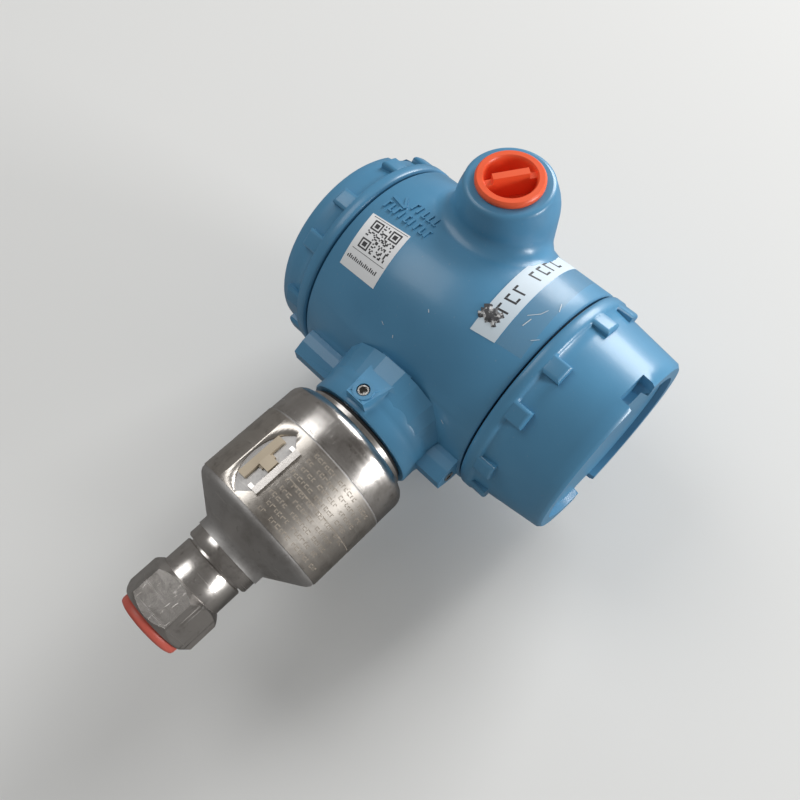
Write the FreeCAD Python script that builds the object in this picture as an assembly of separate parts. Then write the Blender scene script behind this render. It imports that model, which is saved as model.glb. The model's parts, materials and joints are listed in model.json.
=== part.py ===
"""In-line gauge pressure transmitter: a dual-compartment die-cast housing on a stainless sensor module.

Frame: +Z runs up the sensor axis, +Y runs along the housing's cover axis towards the field-terminals
cover, -X is the side of the plugged conduit entry.  The origin is on the sensor axis at the gauge plane
of the process thread, inside the hex.  Millimetres.
"""
import FreeCAD
import Part
import math
import os

V = FreeCAD.Vector
X, Y, Z = V(1, 0, 0), V(0, 1, 0), V(0, 0, 1)

# ---------------------------------------------------------------- driving sizes
# Process connection: hex body with a female 1/2-14 NPT thread
GAUGE_DEPTH = 8.1          # mouth face to the thread's gauge plane, where the origin is
HEX_ACROSS_FLATS = 27.0
HEX_HEIGHT = 15.2          # mouth face to the top of the hex
HEX_TURN = 6.4             # degrees that the hex's front flat is turned about Z
HEX_CHAMFER = 30.0         # degrees, the turned chamfer at both ends of the hex
COLLAR_RADIUS = 12.5
COLLAR_HEIGHT = 10.0
GROOVE_WIDTH = 0.8
GROOVE_DEPTH = 1.3
WELD_RING_RADIUS = 13.6
WELD_RING_HEIGHT = 4.8
NPT_DRILL_RADIUS = 9.13    # tap drill of 1/2-14 NPT
NPT_DRILL_DEPTH = 14.0     # straight wall beyond the gauge plane
NPT_MOUTH_RADIUS = 10.65   # thread's major radius at the mouth
PORT_RADIUS = 2.5          # pressure port to the isolating diaphragm

# Sensor module
NECK_RADIUS = 14.1
NECK_HEIGHT = 3.2
CONE_HEIGHT = 7.4
SHELL_RADIUS = 27.65
CONE_EDGE_DROP = 2.25      # the cone meets its rounded edge this far inside the shell's radius
SHELL_WALL = 2.6
SHELL_EDGE_HEIGHT = 3.0    # rounded edge between the cone and the shell
BAND_SEAT_HEIGHT = 30.0    # length of shell that the nameplate band wraps
TOP_RING_STEP = 0.15       # top ring's radius beyond the shell's
TOP_RING_HEIGHT = 13.9
TOP_RING_SHOULDER = 4.6
NECK_GAP = 3.7             # sensor's shoulder to the housing's neck collar
NECK_STEP_INSET = 1.0      # raised step on the shoulder, inside the collar's radius
NECK_STEP_HEIGHT = 1.9
SPIGOT_RADIUS = 19.6       # threaded neck of the sensor inside the collar
SPIGOT_LIP = 1.9            # thread above the set screw's groove
SPIGOT_BORE = 13.0
SPIGOT_GROOVE_DEPTH = 1.2
SPIGOT_GROOVE_WIDTH = 6.4
NECK_RING_TUBE = 0.72      # section radius of the neck O-ring
NECK_RING_SQUEEZE = 0.05

# Nameplate band and its clip
BAND_THICKNESS = 0.35
BAND_HEIGHT = 29.0
BAND_SLOT_SPAN = 21.0      # degrees of the lens-shaped window
BAND_WINDOW_HEIGHT = 26.0
BAND_WINDOW_TURN = 6.0     # degrees from -X towards +Y, the window's chord
BAND_END_GAP = 2.0         # degrees between the band's ends, at the back
CLIP_LENGTH = 17.0
CLIP_WIDTH = 3.4
CLIP_THICKNESS = 1.1
CLIP_BOSS_RADIUS = 2.2
CLIP_BOSS_HEIGHT = 1.5
HASP_LENGTH = 18.5
HASP_WIDTH = 2.4
HASP_THICKNESS = 1.2

# Housing casting
HOUSING_RADIUS = 43.0
HOUSING_FRONT = -34.9      # end face on the electronics side
HOUSING_BACK = 45.7        # end face on the terminals side
HOUSING_RISE = 58.5        # neck collar's lower edge to the cover axis
HOUSING_WALL = 4.6
PARTITION_FACE = -0.6      # terminals-side face of the wall between the compartments
PARTITION_WALL = 3.6
COVER_THREAD_LENGTH = 10.5
COVER_THREAD_WALL = 4.6    # housing's outside to the cover thread
THREAD_CLEARANCE = 0.35
RIM_EDGE = 0.7
COLLAR_OUTER_RADIUS = 23.2
COLLAR_HEIGHT_STRAIGHT = 5.6
COLLAR_FLARE = 0.9
NECK_FACET_ANGLES = (10, 23, 41, 53, 74)  # degrees from -X or +X to the corners of the faceted neck
NECK_FACET_START_INSET = 0.4  # the flats start this far inside the flare and grow out of it
NECK_FACET_STAND = 2.4      # corners beyond the flare at the compartments' height
NECK_FACET_START = 9.0     # above the collar's lower edge
NECK_FIT = 0.06            # radial running clearance of the sensor's neck in the collar
WIRE_HOLE_RADIUS = 4.6
WIRE_HOLE_Y = -11.0
# conduit entries
CONDUIT_Y = 9.8
CONDUIT_DROP = 16.5        # entry's axis below the top of the drum
CONDUIT_STAND = 12.4       # entry's end face beyond the drum
CONDUIT_END_RADIUS = 16.0
CONDUIT_ROOT_RADIUS = 18.6
CONDUIT_ROOT_STAND = 0.5   # straight part of the boss beyond the drum
CONDUIT_EDGE = 1.7
CONDUIT_MOUTH_DEPTH = 10.0
CONDUIT_WALL_LENGTH = 10.0  # straight wall at the tap drill's size
CONDUIT_RELIEF = 0.6        # the bore is this much wider inside that wall
CONDUIT_FILLET = 6.0
# rotation set screw in the slanting pad on the neck
SET_SCREW_RISE = 5.6       # above the collar's lower edge
SET_SCREW_Y = 0.2
SET_SCREW_RADIUS = 2.4
SET_SCREW_SINK = 0.3
SET_SCREW_TIP_GAP = 0.3
SET_RING_RADIUS = 3.7
SET_RING_STAND = 0.5
PAD_LOW_STAND = 4.6        # pad's low edge beyond the collar
PAD_LOW_RISE = 1.6         # above the collar's lower edge
PAD_LOW_HALF = 3.9
PAD_TOP_RISE = 22.0
PAD_TOP_X = 22.6
PAD_TOP_LEFT = 8.0         # towards +Y
PAD_TOP_RIGHT = 6.0        # towards -Y
# cover-lock lugs
LUG_HALF_WIDTH = 6.0
LUG_DROP = 52.6            # underside below the cover axis
LUG_FOOT_HALF = 2.6
LUG_BEVEL_LOW = 4.6        # bevels' lower and upper edges above the underside
LUG_BEVEL_HIGH = 8.0
LUG_BEVEL_INSET = 1.0
LUG_HEIGHT = 13.0
LUG_SETBACK_FRONT = 0.7    # lug's end behind the housing's end face
LUG_SETBACK_BACK = 4.1
LUG_ROOT = 18.0
JAM_SCREW_RADIUS = 2.0
JAM_SCREW_LENGTH = 9.0
JAM_SCREW_RISE = 5.2       # above the lug's underside
JAM_SCREW_STAND = 0.4

# Covers
COVER_GAP = 0.75           # housing end face to the cover's flange
FLANGE_LIP = 0.3           # flange's radius beyond the housing's
FLANGE_LENGTH = 5.0
FLANGE_EDGE = 1.0
FRONT_COVER_LENGTH = 32.4  # flange face to the end
FRONT_COVER_ROOT_STEP = 2.3  # flange to the body's root
FRONT_COVER_TAPER = 3.4
BACK_COVER_LENGTH = 17.5
BACK_COVER_ROOT_STEP = 2.3
BACK_COVER_TAPER = 1.8
COVER_END_EDGE = 1.2
COVER_WALL = 2.6
COVER_SKIRT_WALL = 4.2
COVER_RECESS_DEPTH = 2.4   # the end face lies below its raised rim
COVER_RIM_WIDTH = 5.2
COVER_SKIRT_LENGTH = 9.6
COVER_LUG_LENGTH = 6.2
COVER_LUG_INSET = 0.3      # lug's radius inside the flange's
COVER_LUG_SPAN = 9.5       # degrees
COVER_LUG_PAIRS = 6
COVER_LUG_SPACING = 25.8   # degrees between the lugs of a pair
COVER_LUG_EDGE = 1.3
FRONT_LUG_START = -39.0    # degrees, from -X towards +Z
BACK_LUG_START = -38.0
SLOT_SPAN = 12.4           # width of the spanner notches at the cover's end
SLOT_DEPTH = 5.0
SLOT_REACH = 7.0
FRONT_SLOT_TURN = 5.8      # degrees, from -X towards +Z
BACK_SLOT_TURN = 40.0
COVER_RING_TUBE = 1.2
COVER_RING_GAP = 0.3
COVER_RING_SEAT_DEPTH = 2.4

# Plugs and caps
PLUG_FLANGE_RADIUS = 12.0
PLUG_FLANGE_THICKNESS = 2.4
PLUG_SHANK_LENGTH = 8.6
PLUG_SHANK_CLEARANCE = 0.3
PLUG_SHANK_TAPER = 0.4
PLUG_CUP_RADIUS = 9.0
PLUG_CUP_DEPTH = 8.4
PLUG_FLOOR = 1.6
PLUG_BAR_THICKNESS = 2.6
PLUG_BAR_DROP = 1.4        # bar's top below the rim
PLUG_GRIP_LENGTH = 12.5
PLUG_GRIP_RISE = 2.6
PLUG_BAR_TURN = 124.0      # degrees about the entry's axis
PLUG_TRAVEL = 45.0
CAP_FLANGE_RADIUS = 12.1
CAP_FLANGE_THICKNESS = 3.2
CAP_EDGE = 1.1
CAP_SHANK_LENGTH = 6.0
CAP_SHANK_CLEARANCE = 0.3
CAP_SHANK_WALL = 1.2
BLANK_PLUG_RADIUS = 10.3
BLANK_PLUG_LENGTH = 12.0
BLANK_PLUG_RECESS = 0.8
BLANK_SOCKET_FLATS = 9.5
BLANK_SOCKET_DEPTH = 6.5

# Inside the sensor shell
DIAPHRAGM_RADIUS = 9.0
DIAPHRAGM_THICKNESS = 0.4
CAPSULE_RADIUS = 12.0
CAPSULE_HEIGHT = 8.0
FILL_TUBE_RADIUS = 1.2
FILL_TUBE_HEIGHT = 11.0
CELL_RADIUS = 7.5
CELL_HEIGHT = 9.0
SENSOR_BOARD_RADIUS = 22.5
SENSOR_BOARD_THICKNESS = 1.6
SENSOR_BOARD_RISE = 18.0
SENSOR_POST_RADIUS = 2.2
SENSOR_POST_CIRCLE = 18.0
SENSOR_PIN_RADIUS = 0.5
HEADER_RADIUS = 11.0
HEADER_HEIGHT = 7.0
HEADER_STEM_RADIUS = 6.0

# Inside the housing
CARRIER_GAP = 1.0          # carrier to the cover skirt
CARRIER_WALL = 2.0
CARRIER_DEPTH = 20.0
CARRIER_STAND = 2.0
BOARD_THICKNESS = 1.6
CARRIER_SCREW_CIRCLE = 25.0
CARRIER_SCREW_RADIUS = 2.0
CARRIER_SCREW_HEAD = 3.6
CARRIER_SCREW_HEAD_HEIGHT = 2.4
CARRIER_BOSS_RADIUS = 4.4
CHIP_SIZE = 9.0
CHIP_HEIGHT = 1.6
SOCKET_LENGTH = 14.0
SOCKET_WIDTH = 6.0
SOCKET_HEIGHT = 6.0
BLOCK_GAP = 5.5            # block to the compartment's wall
BLOCK_DEPTH = 15.0
BLOCK_CUT_RISE = 13.0      # the block's flat top, above the housing axis
BLOCK_SEAT = 0.3
BLOCK_RIB_HEIGHT = 5.0
BLOCK_RIB_THICKNESS = 1.8
TERMINAL_COUNT = 3
TERMINAL_PITCH = 13.0
TERMINAL_DROP = 4.0
TERMINAL_SCREW_RADIUS = 2.0
TERMINAL_HEAD_RADIUS = 3.7
TERMINAL_HEAD_HEIGHT = 2.6
TERMINAL_CLAMP_SIDE = 9.0
TERMINAL_CLAMP_THICKNESS = 1.2
BLOCK_SCREW_CIRCLE = 26.0
BLOCK_SCREW_ANGLE = 35.0   # degrees below the horizontal
BLOCK_SCREW_RADIUS = 1.9
BLOCK_HEAD_RADIUS = 3.5
BLOCK_HEAD_HEIGHT = 2.4
GROUND_PAD_RADIUS = 5.5
GROUND_PAD_HEIGHT = 7.0
GROUND_DROP = 24.0
GROUND_SCREW_RADIUS = 2.2
GROUND_HEAD_RADIUS = 4.2
GROUND_HEAD_HEIGHT = 3.0
GROUND_WASHER_THICKNESS = 1.0
FEED_RADIUS = 6.0
FEED_PIN_RADIUS = 0.7
FEED_PIN_REACH = 3.5
FEED_PIN_CIRCLE = 3.2
FEED_RISE = 4.0
SCREW_DEPTH = 3.0          # thread engagement of small screws
SLIT = 0.9                 # screwdriver slot width

# ---------------------------------------------------------------- places worked out from the sizes
FACE_Z = -GAUGE_DEPTH
HEX_TOP = FACE_Z + HEX_HEIGHT
COLLAR_TOP = HEX_TOP + COLLAR_HEIGHT
WELD_RING_LOW = COLLAR_TOP + GROOVE_WIDTH
WELD_RING_TOP = WELD_RING_LOW + WELD_RING_HEIGHT
NECK_TOP = WELD_RING_TOP + NECK_HEIGHT
CONE_TOP = NECK_TOP + CONE_HEIGHT
SHELL_LOW = CONE_TOP + SHELL_EDGE_HEIGHT
SHELL_TOP = SHELL_LOW + BAND_SEAT_HEIGHT
RING_TOP = SHELL_TOP + TOP_RING_HEIGHT
NECK_LOW = RING_TOP + NECK_GAP            # underside of the housing's collar
CONE_RADIUS = SHELL_RADIUS - CONE_EDGE_DROP
TOP_RING_RADIUS = SHELL_RADIUS + TOP_RING_STEP
AXIS_Z = NECK_LOW + HOUSING_RISE
CONDUIT_Z = AXIS_Z + HOUSING_RADIUS - CONDUIT_DROP
CONDUIT_FACE = HOUSING_RADIUS + CONDUIT_STAND
CONDUIT_ROOT_X = HOUSING_RADIUS + CONDUIT_ROOT_STAND
SET_Z = NECK_LOW + SET_SCREW_RISE
SPIGOT_TOP = SET_Z + SPIGOT_GROOVE_WIDTH / 2 + SPIGOT_LIP
SET_FACE = COLLAR_OUTER_RADIUS + PAD_LOW_STAND - SET_RING_STAND
LUG_LOW = AXIS_Z - LUG_DROP
LUG_FRONT_END = HOUSING_FRONT + LUG_SETBACK_FRONT
LUG_BACK_END = HOUSING_BACK - LUG_SETBACK_BACK
COVER_THREAD_RADIUS = HOUSING_RADIUS - COVER_THREAD_WALL
COVER_BORE_RADIUS = COVER_THREAD_RADIUS - COVER_SKIRT_WALL
FLANGE_RADIUS = HOUSING_RADIUS + FLANGE_LIP
COVER_LUG_RADIUS = FLANGE_RADIUS - COVER_LUG_INSET
NECK_BORE = SPIGOT_RADIUS + NECK_FIT
COMPARTMENT_RADIUS = HOUSING_RADIUS - HOUSING_WALL - THREAD_CLEARANCE
MOUTH_RADIUS = COVER_THREAD_RADIUS + THREAD_CLEARANCE
RING_RADIUS = COVER_THREAD_RADIUS + COVER_RING_TUBE + NECK_RING_SQUEEZE
RING_SEAT_RADIUS = RING_RADIUS + COVER_RING_TUBE + COVER_RING_GAP
CARRIER_RADIUS = COVER_BORE_RADIUS - CARRIER_GAP
BLOCK_RADIUS = COMPARTMENT_RADIUS - BLOCK_GAP
FRONT_FLANGE_FACE = HOUSING_FRONT - COVER_GAP
BACK_FLANGE_FACE = HOUSING_BACK + COVER_GAP
PARTITION_FRONT = PARTITION_FACE - PARTITION_WALL


# ---------------------------------------------------------------- small tools
def turned(points, origin=V(0, 0, 0), axis=Z, start=V(1, 0, 0)):
    """Solid of revolution: points are (radius, distance along the axis)."""
    side = axis.cross(start)
    pts = [origin + start * r + axis * h for r, h in points]
    wire = Part.makePolygon(pts + [pts[0]])
    return Part.Face(wire).revolve(origin, axis, 360)


def rod(radius, low, high, axis=Z, centre=V(0, 0, 0)):
    """Round bar along an axis, between two distances measured along it."""
    return Part.makeCylinder(radius, high - low, centre + axis * low, axis)


def tube(outer, inner, low, high, axis=Z, centre=V(0, 0, 0)):
    return rod(outer, low, high, axis, centre).cut(rod(inner, low, high, axis, centre))


def box(x0, x1, y0, y1, z0, z1):
    return Part.makeBox(x1 - x0, y1 - y0, z1 - z0, V(x0, y0, z0))


def ring(radius, tube_radius, centre, axis):
    return Part.makeTorus(radius, tube_radius, centre, axis)


def prism(points, direction):
    """Straight prism on a closed polygon of 3-D points."""
    return Part.Face(Part.makePolygon(points + [points[0]])).extrude(direction)


def fuse(first, *others):
    out = first
    for other in others:
        out = out.fuse(other)
    return out.removeSplitter()


def hexagon(across_flats, low, high, turn=0.0, axis=Z, centre=V(0, 0, 0), start=V(1, 0, 0)):
    """Hexagonal bar whose first flat faces the start direction turned by turn degrees."""
    corner = across_flats / math.sqrt(3)
    side = axis.cross(start)
    pts = []
    for k in range(6):
        a = math.radians(turn + 30 + 60 * k)
        pts.append(centre + axis * low + start * corner * math.cos(a) + side * corner * math.sin(a))
    return prism(pts, axis * (high - low))


def housing_point(radius, degrees, y):
    """Point round the cover axis: degrees run from -X towards +Z."""
    a = math.radians(degrees)
    return V(-radius * math.cos(a), y, AXIS_Z + radius * math.sin(a))


def wedge(radius, degrees, span, y0, y1):
    """Sector-shaped bar round the cover axis, wide enough to cut or make a lug."""
    half = span / 2
    pts = [V(0, y0, AXIS_Z)]
    reach = radius / math.cos(math.radians(half))
    pts += [housing_point(reach, degrees - half, y0), housing_point(reach, degrees + half, y0)]
    return prism(pts, V(0, y1 - y0, 0))


AXIS_POINT = V(0, 0, AXIS_Z)


def round_y(radius, y0, y1):
    return rod(radius, y0, y1, Y, AXIS_POINT)


def turned_y(points):
    """Revolved about the cover axis: points are (radius, y)."""
    return turned(points, AXIS_POINT, Y, V(-1, 0, 0))


def slot_cut(radius, height, width, depth, axis, centre, across):
    """Bar that cuts a screwdriver slot into a screw head."""
    side = axis.cross(across)
    p = centre + axis * (height - depth)
    pts = [p + across * s * (radius + 1) + side * t * width / 2 for s, t in ((-1, -1), (1, -1), (1, 1), (-1, 1))]
    return prism(pts, axis * (depth + 1))


def headed_screw(radius, length, head_radius, head_height, axis, seat, across):
    """Cheese-head screw: the seat is the underside of the head, the axis points out of the head."""
    shank = rod(radius, -length, 0, axis, seat)
    head = rod(head_radius, 0, head_height, axis, seat)
    screw = fuse(shank, head)
    return screw.cut(slot_cut(head_radius, head_height, SLIT, head_height * 0.45, axis, seat, across))


# ---------------------------------------------------------------- sensor module
def process_connection():
    corner = HEX_ACROSS_FLATS / math.sqrt(3)
    flat = HEX_ACROSS_FLATS / 2
    rise = (corner - flat) * math.tan(math.radians(HEX_CHAMFER)) * 1.6
    # the front flat faces -X, turned a little
    body = hexagon(HEX_ACROSS_FLATS, FACE_Z, HEX_TOP, HEX_TURN, Z, V(0, 0, 0), V(-1, 0, 0))
    turned_blank = turned([
        (0, FACE_Z), (flat * 0.965, FACE_Z), (corner + 0.01, FACE_Z + rise * 1.35),
        (corner + 0.01, HEX_TOP - rise * 1.35), (flat * 0.965, HEX_TOP), (0, HEX_TOP)])
    body = body.common(turned_blank)
    neck = turned([
        (0, HEX_TOP - 1), (COLLAR_RADIUS, HEX_TOP - 1), (COLLAR_RADIUS, COLLAR_TOP - 0.4),
        (COLLAR_RADIUS - 0.4, COLLAR_TOP), (COLLAR_RADIUS - GROOVE_DEPTH, COLLAR_TOP),
        (COLLAR_RADIUS - GROOVE_DEPTH, WELD_RING_LOW), (WELD_RING_RADIUS - 0.6, WELD_RING_LOW),
        (WELD_RING_RADIUS, WELD_RING_LOW + 0.6), (WELD_RING_RADIUS, WELD_RING_TOP), (0, WELD_RING_TOP)])
    body = fuse(body, neck)
    bore = turned([
        (0, FACE_Z - 1), (NPT_MOUTH_RADIUS + 0.6, FACE_Z - 1), (NPT_MOUTH_RADIUS + 0.6, FACE_Z),
        (NPT_MOUTH_RADIUS, FACE_Z + 0.6), (NPT_MOUTH_RADIUS - 0.25, -1.2), (NPT_DRILL_RADIUS, 0),
        (NPT_DRILL_RADIUS, NPT_DRILL_DEPTH), (PORT_RADIUS, NPT_DRILL_DEPTH + 3),
        (PORT_RADIUS, WELD_RING_TOP + 1), (0, WELD_RING_TOP + 1)])
    return body.cut(bore)


def sensor_shell():
    outer = [
        (NECK_RADIUS, WELD_RING_TOP), (NECK_RADIUS, NECK_TOP), (CONE_RADIUS, CONE_TOP),
        (CONE_RADIUS + (SHELL_RADIUS - CONE_RADIUS) * 0.62, CONE_TOP + SHELL_EDGE_HEIGHT * 0.36),
        (SHELL_RADIUS - 0.15, CONE_TOP + SHELL_EDGE_HEIGHT * 0.72), (SHELL_RADIUS, SHELL_LOW),
        (SHELL_RADIUS, SHELL_TOP)]
    inner = [
        (SHELL_RADIUS - SHELL_WALL, SHELL_TOP), (SHELL_RADIUS - SHELL_WALL, CONE_TOP + SHELL_WALL),
        (CAPSULE_RADIUS + 2.5, CONE_TOP), (CAPSULE_RADIUS, CONE_TOP), (CAPSULE_RADIUS, NECK_TOP - 1.4),
        (DIAPHRAGM_RADIUS + 0.6, NECK_TOP - 1.4), (DIAPHRAGM_RADIUS + 0.6, WELD_RING_TOP)]
    return turned(outer + inner)


def top_ring():
    """Upper half of the sensor body with the threaded neck that the housing turns on."""
    shoulder = []
    steps = 5
    for k in range(steps + 1):
        a = math.radians(90 * k / steps)
        shoulder.append((TOP_RING_RADIUS - TOP_RING_SHOULDER * (1 - math.cos(a)),
                         RING_TOP - TOP_RING_SHOULDER * (1 - math.sin(a))))
    groove_low = SET_Z - SPIGOT_GROOVE_WIDTH / 2
    groove_high = SET_Z + SPIGOT_GROOVE_WIDTH / 2
    step = COLLAR_OUTER_RADIUS - NECK_STEP_INSET
    outer = [(TOP_RING_RADIUS, SHELL_TOP)] + shoulder + [
        (step, RING_TOP), (step, RING_TOP + NECK_STEP_HEIGHT), (SPIGOT_RADIUS, RING_TOP + NECK_STEP_HEIGHT),
        (SPIGOT_RADIUS, groove_low),
        (SPIGOT_RADIUS - SPIGOT_GROOVE_DEPTH, groove_low + 0.6),
        (SPIGOT_RADIUS - SPIGOT_GROOVE_DEPTH, groove_high - 0.6), (SPIGOT_RADIUS, groove_high),
        (SPIGOT_RADIUS, SPIGOT_TOP - 0.8), (SPIGOT_RADIUS - 0.8, SPIGOT_TOP)]
    inner = [
        (SPIGOT_BORE, SPIGOT_TOP), (SPIGOT_BORE, RING_TOP - 2), (TOP_RING_RADIUS - SHELL_WALL - 1.5, SHELL_TOP + 6),
        (TOP_RING_RADIUS - SHELL_WALL - 1.5, SHELL_TOP)]
    return turned(outer + inner)


def neck_o_ring():
    radius = SPIGOT_RADIUS + NECK_RING_TUBE + NECK_RING_SQUEEZE
    return ring(radius, NECK_RING_TUBE, V(0, 0, RING_TOP + (NECK_STEP_HEIGHT + NECK_GAP) / 2), Z)


def band_window(extra=0.0):
    """Lens-shaped opening: an arc on one side, a straight chord on the other."""
    mid = SHELL_LOW + BAND_SEAT_HEIGHT / 2 - 1.2
    half = BAND_WINDOW_HEIGHT / 2 + extra
    chord = math.radians(BAND_WINDOW_TURN)
    bow = math.radians(BAND_SLOT_SPAN / 2 + 2)
    reach = SHELL_RADIUS + 6

    def at(angle, z):
        return V(-reach * math.cos(angle), reach * math.sin(angle), z)
    arc = Part.Arc(at(chord, mid - half), at(chord + bow, mid), at(chord, mid + half)).toShape()
    line = Part.makeLine(at(chord, mid + half), at(chord, mid - half))
    low = Part.makeLine(at(chord, mid - half), at(chord - math.radians(9), mid - half * 0.62))
    side = Part.makeLine(at(chord - math.radians(9), mid - half * 0.62), at(chord - math.radians(9), mid + half * 0.62))
    high = Part.makeLine(at(chord - math.radians(9), mid + half * 0.62), at(chord, mid + half))
    lens = Part.Face(Part.Wire([arc, line])).extrude(V(reach - SHELL_RADIUS + 9, 0, 0))
    pocket = Part.Face(Part.Wire([low, side, high, Part.makeLine(at(chord, mid + half), at(chord, mid - half))]))
    return lens, pocket.extrude(V(reach - SHELL_RADIUS + 9, 0, 0)), mid


def nameplate_band():
    low = SHELL_LOW + 0.4
    band = tube(SHELL_RADIUS + BAND_THICKNESS, SHELL_RADIUS, low, low + BAND_HEIGHT)
    lens, pocket, _ = band_window()
    slit = wedge_z(BAND_END_GAP, 180.0, low - 1, low + BAND_HEIGHT + 1)
    return band.cut(lens).cut(pocket).cut(slit)


def wedge_z(span, degrees, low, high):
    """Sector round the sensor axis: degrees run from -X towards +Y."""
    a0, a1 = math.radians(degrees - span / 2), math.radians(degrees + span / 2)
    reach = SHELL_RADIUS + 8
    pts = [V(0, 0, low), V(-reach * math.cos(a0), reach * math.sin(a0), low),
           V(-reach * math.cos(a1), reach * math.sin(a1), low)]
    return prism(pts, V(0, 0, high - low))


def on_shell(degrees, z, rise=0.0):
    """Point on the shell: degrees run from -X towards +Y."""
    a = math.radians(degrees)
    r = SHELL_RADIUS + rise
    return V(-r * math.cos(a), r * math.sin(a), z)


def shell_block(degrees, z, length, width, thickness):
    """Small block lying on the shell, its length along Z."""
    a = math.radians(degrees)
    out = V(-math.cos(a), math.sin(a), 0)
    side = out.cross(Z)
    base = on_shell(degrees, z - length / 2, -0.0)
    sag = SHELL_RADIUS - math.sqrt(SHELL_RADIUS ** 2 - (width / 2) ** 2)
    base = base - out * (sag + 0.02)
    pts = [base - side * width / 2, base + side * width / 2,
           base + side * width / 2 + out * (thickness + sag), base - side * width / 2 + out * (thickness + sag)]
    block = prism(pts, V(0, 0, length))
    return block.cut(rod(SHELL_RADIUS, z - length, z + length)), out


def band_clip():
    """Buckle plate in the window, with the square boss that the hasp hooks over."""
    _, _, mid = band_window()
    plate, _ = shell_block(BAND_WINDOW_TURN + 6.5, mid + 0.5, CLIP_LENGTH, CLIP_WIDTH, CLIP_THICKNESS)
    boss, out = shell_block(BAND_WINDOW_TURN - 1.0, mid + 0.5, CLIP_BOSS_RADIUS * 2, CLIP_BOSS_RADIUS * 2,
                            CLIP_BOSS_HEIGHT)
    web, _ = shell_block(BAND_WINDOW_TURN + 2.8, mid + 0.5, CLIP_BOSS_RADIUS * 2.6, 3.6, CLIP_THICKNESS * 0.6)
    return fuse(plate, web, boss)


def band_hasp():
    """Bright hasp beside the clip, with a hook at each end."""
    _, _, mid = band_window()
    turn = BAND_WINDOW_TURN - 9.0
    bar, _ = shell_block(turn, mid + 0.3, HASP_LENGTH, HASP_WIDTH, HASP_THICKNESS + BAND_THICKNESS)
    hooks = []
    for s in (-1, 1):
        hook, _ = shell_block(turn + 3.6, mid + 0.3 + s * (HASP_LENGTH / 2 - 0.7), 1.4, 2.4, HASP_THICKNESS)
        hooks.append(hook)
    bar = fuse(bar, *hooks)
    return bar.cut(tube(SHELL_RADIUS + BAND_THICKNESS + 0.02, SHELL_RADIUS - 1, mid - 20, mid + 20))


def isolating_diaphragm():
    return rod(DIAPHRAGM_RADIUS, WELD_RING_TOP, WELD_RING_TOP + DIAPHRAGM_THICKNESS)


def pressure_capsule():
    low = NECK_TOP - 1.4
    body = rod(CAPSULE_RADIUS - 0.05, low, low + CAPSULE_HEIGHT)
    foot = rod(DIAPHRAGM_RADIUS - 0.6, WELD_RING_TOP + DIAPHRAGM_THICKNESS, low + 1)
    cell = rod(CELL_RADIUS, low + CAPSULE_HEIGHT - 1, low + CAPSULE_HEIGHT + CELL_HEIGHT)
    return fuse(body, foot, cell)


def capsule_top():
    return NECK_TOP - 1.4 + CAPSULE_HEIGHT


def fill_tube():
    x = (CELL_RADIUS + CAPSULE_RADIUS) / 2
    return rod(FILL_TUBE_RADIUS, capsule_top(), capsule_top() + FILL_TUBE_HEIGHT, Z, V(x, 0, 0))


def sensor_posts():
    """Three posts that carry the sensor board on the cone's floor."""
    low = CONE_TOP + SHELL_WALL * 0.0
    top = board_low()
    posts = []
    for k in range(3):
        a = math.radians(90 + 120 * k)
        centre = V(SENSOR_POST_CIRCLE * math.cos(a), SENSOR_POST_CIRCLE * math.sin(a), 0)
        floor = shell_floor(SENSOR_POST_CIRCLE + SENSOR_POST_RADIUS)
        posts.append(rod(SENSOR_POST_RADIUS, floor, top, Z, centre))
    return Part.makeCompound(posts)


def shell_floor(radius):
    """Height of the shell's inner floor at a radius."""
    r0, z0 = CAPSULE_RADIUS + 2.5, CONE_TOP
    r1, z1 = SHELL_RADIUS - SHELL_WALL, CONE_TOP + SHELL_WALL
    return z0 + (z1 - z0) * (radius - r0) / (r1 - r0)


def board_low():
    return CONE_TOP + SENSOR_BOARD_RISE


def sensor_board():
    low = board_low()
    board = rod(SENSOR_BOARD_RADIUS, low, low + SENSOR_BOARD_THICKNESS)
    return board


def header_stem():
    """Post on the sensor board that carries the cable header up the neck."""
    low = board_low() + SENSOR_BOARD_THICKNESS
    return rod(HEADER_STEM_RADIUS, low, SPIGOT_TOP - HEADER_HEIGHT)


def cable_header():
    low = SPIGOT_TOP - HEADER_HEIGHT
    body = rod(HEADER_RADIUS, low, SPIGOT_TOP)
    recess = box(-6, 6, -3, 3, SPIGOT_TOP - 4, SPIGOT_TOP + 1)
    pins = [rod(SENSOR_PIN_RADIUS, SPIGOT_TOP - 4.5, SPIGOT_TOP - 0.8, Z, V(-4 + 2 * k, 0, 0)) for k in range(5)]
    return fuse(body.cut(recess), *pins)


# ---------------------------------------------------------------- housing
def conduit_bosses():
    """Both conduit entries in one: a bar across the top of the drum that narrows towards its two ends."""
    wide = CONDUIT_ROOT_RADIUS
    end = CONDUIT_END_RADIUS
    tip = CONDUIT_FACE - CONDUIT_EDGE
    length = tip - CONDUIT_ROOT_X
    half = [(wide, CONDUIT_ROOT_X)]
    for share in (0.25, 0.5, 0.75):
        half.append((end + (wide - end) * math.cos(math.radians(90 * share)), CONDUIT_ROOT_X + length * share))
    half.append((end, tip))
    for share in (30, 60, 90):
        a = math.radians(share)
        half.append((end - CONDUIT_EDGE * (1 - math.cos(a)), tip + CONDUIT_EDGE * math.sin(a)))
    profile = [(0, CONDUIT_FACE)] + half[::-1] + [(r, -x) for r, x in half] + [(0, -CONDUIT_FACE)]
    return turned(profile, V(0, CONDUIT_Y, CONDUIT_Z), X, Y)


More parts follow.
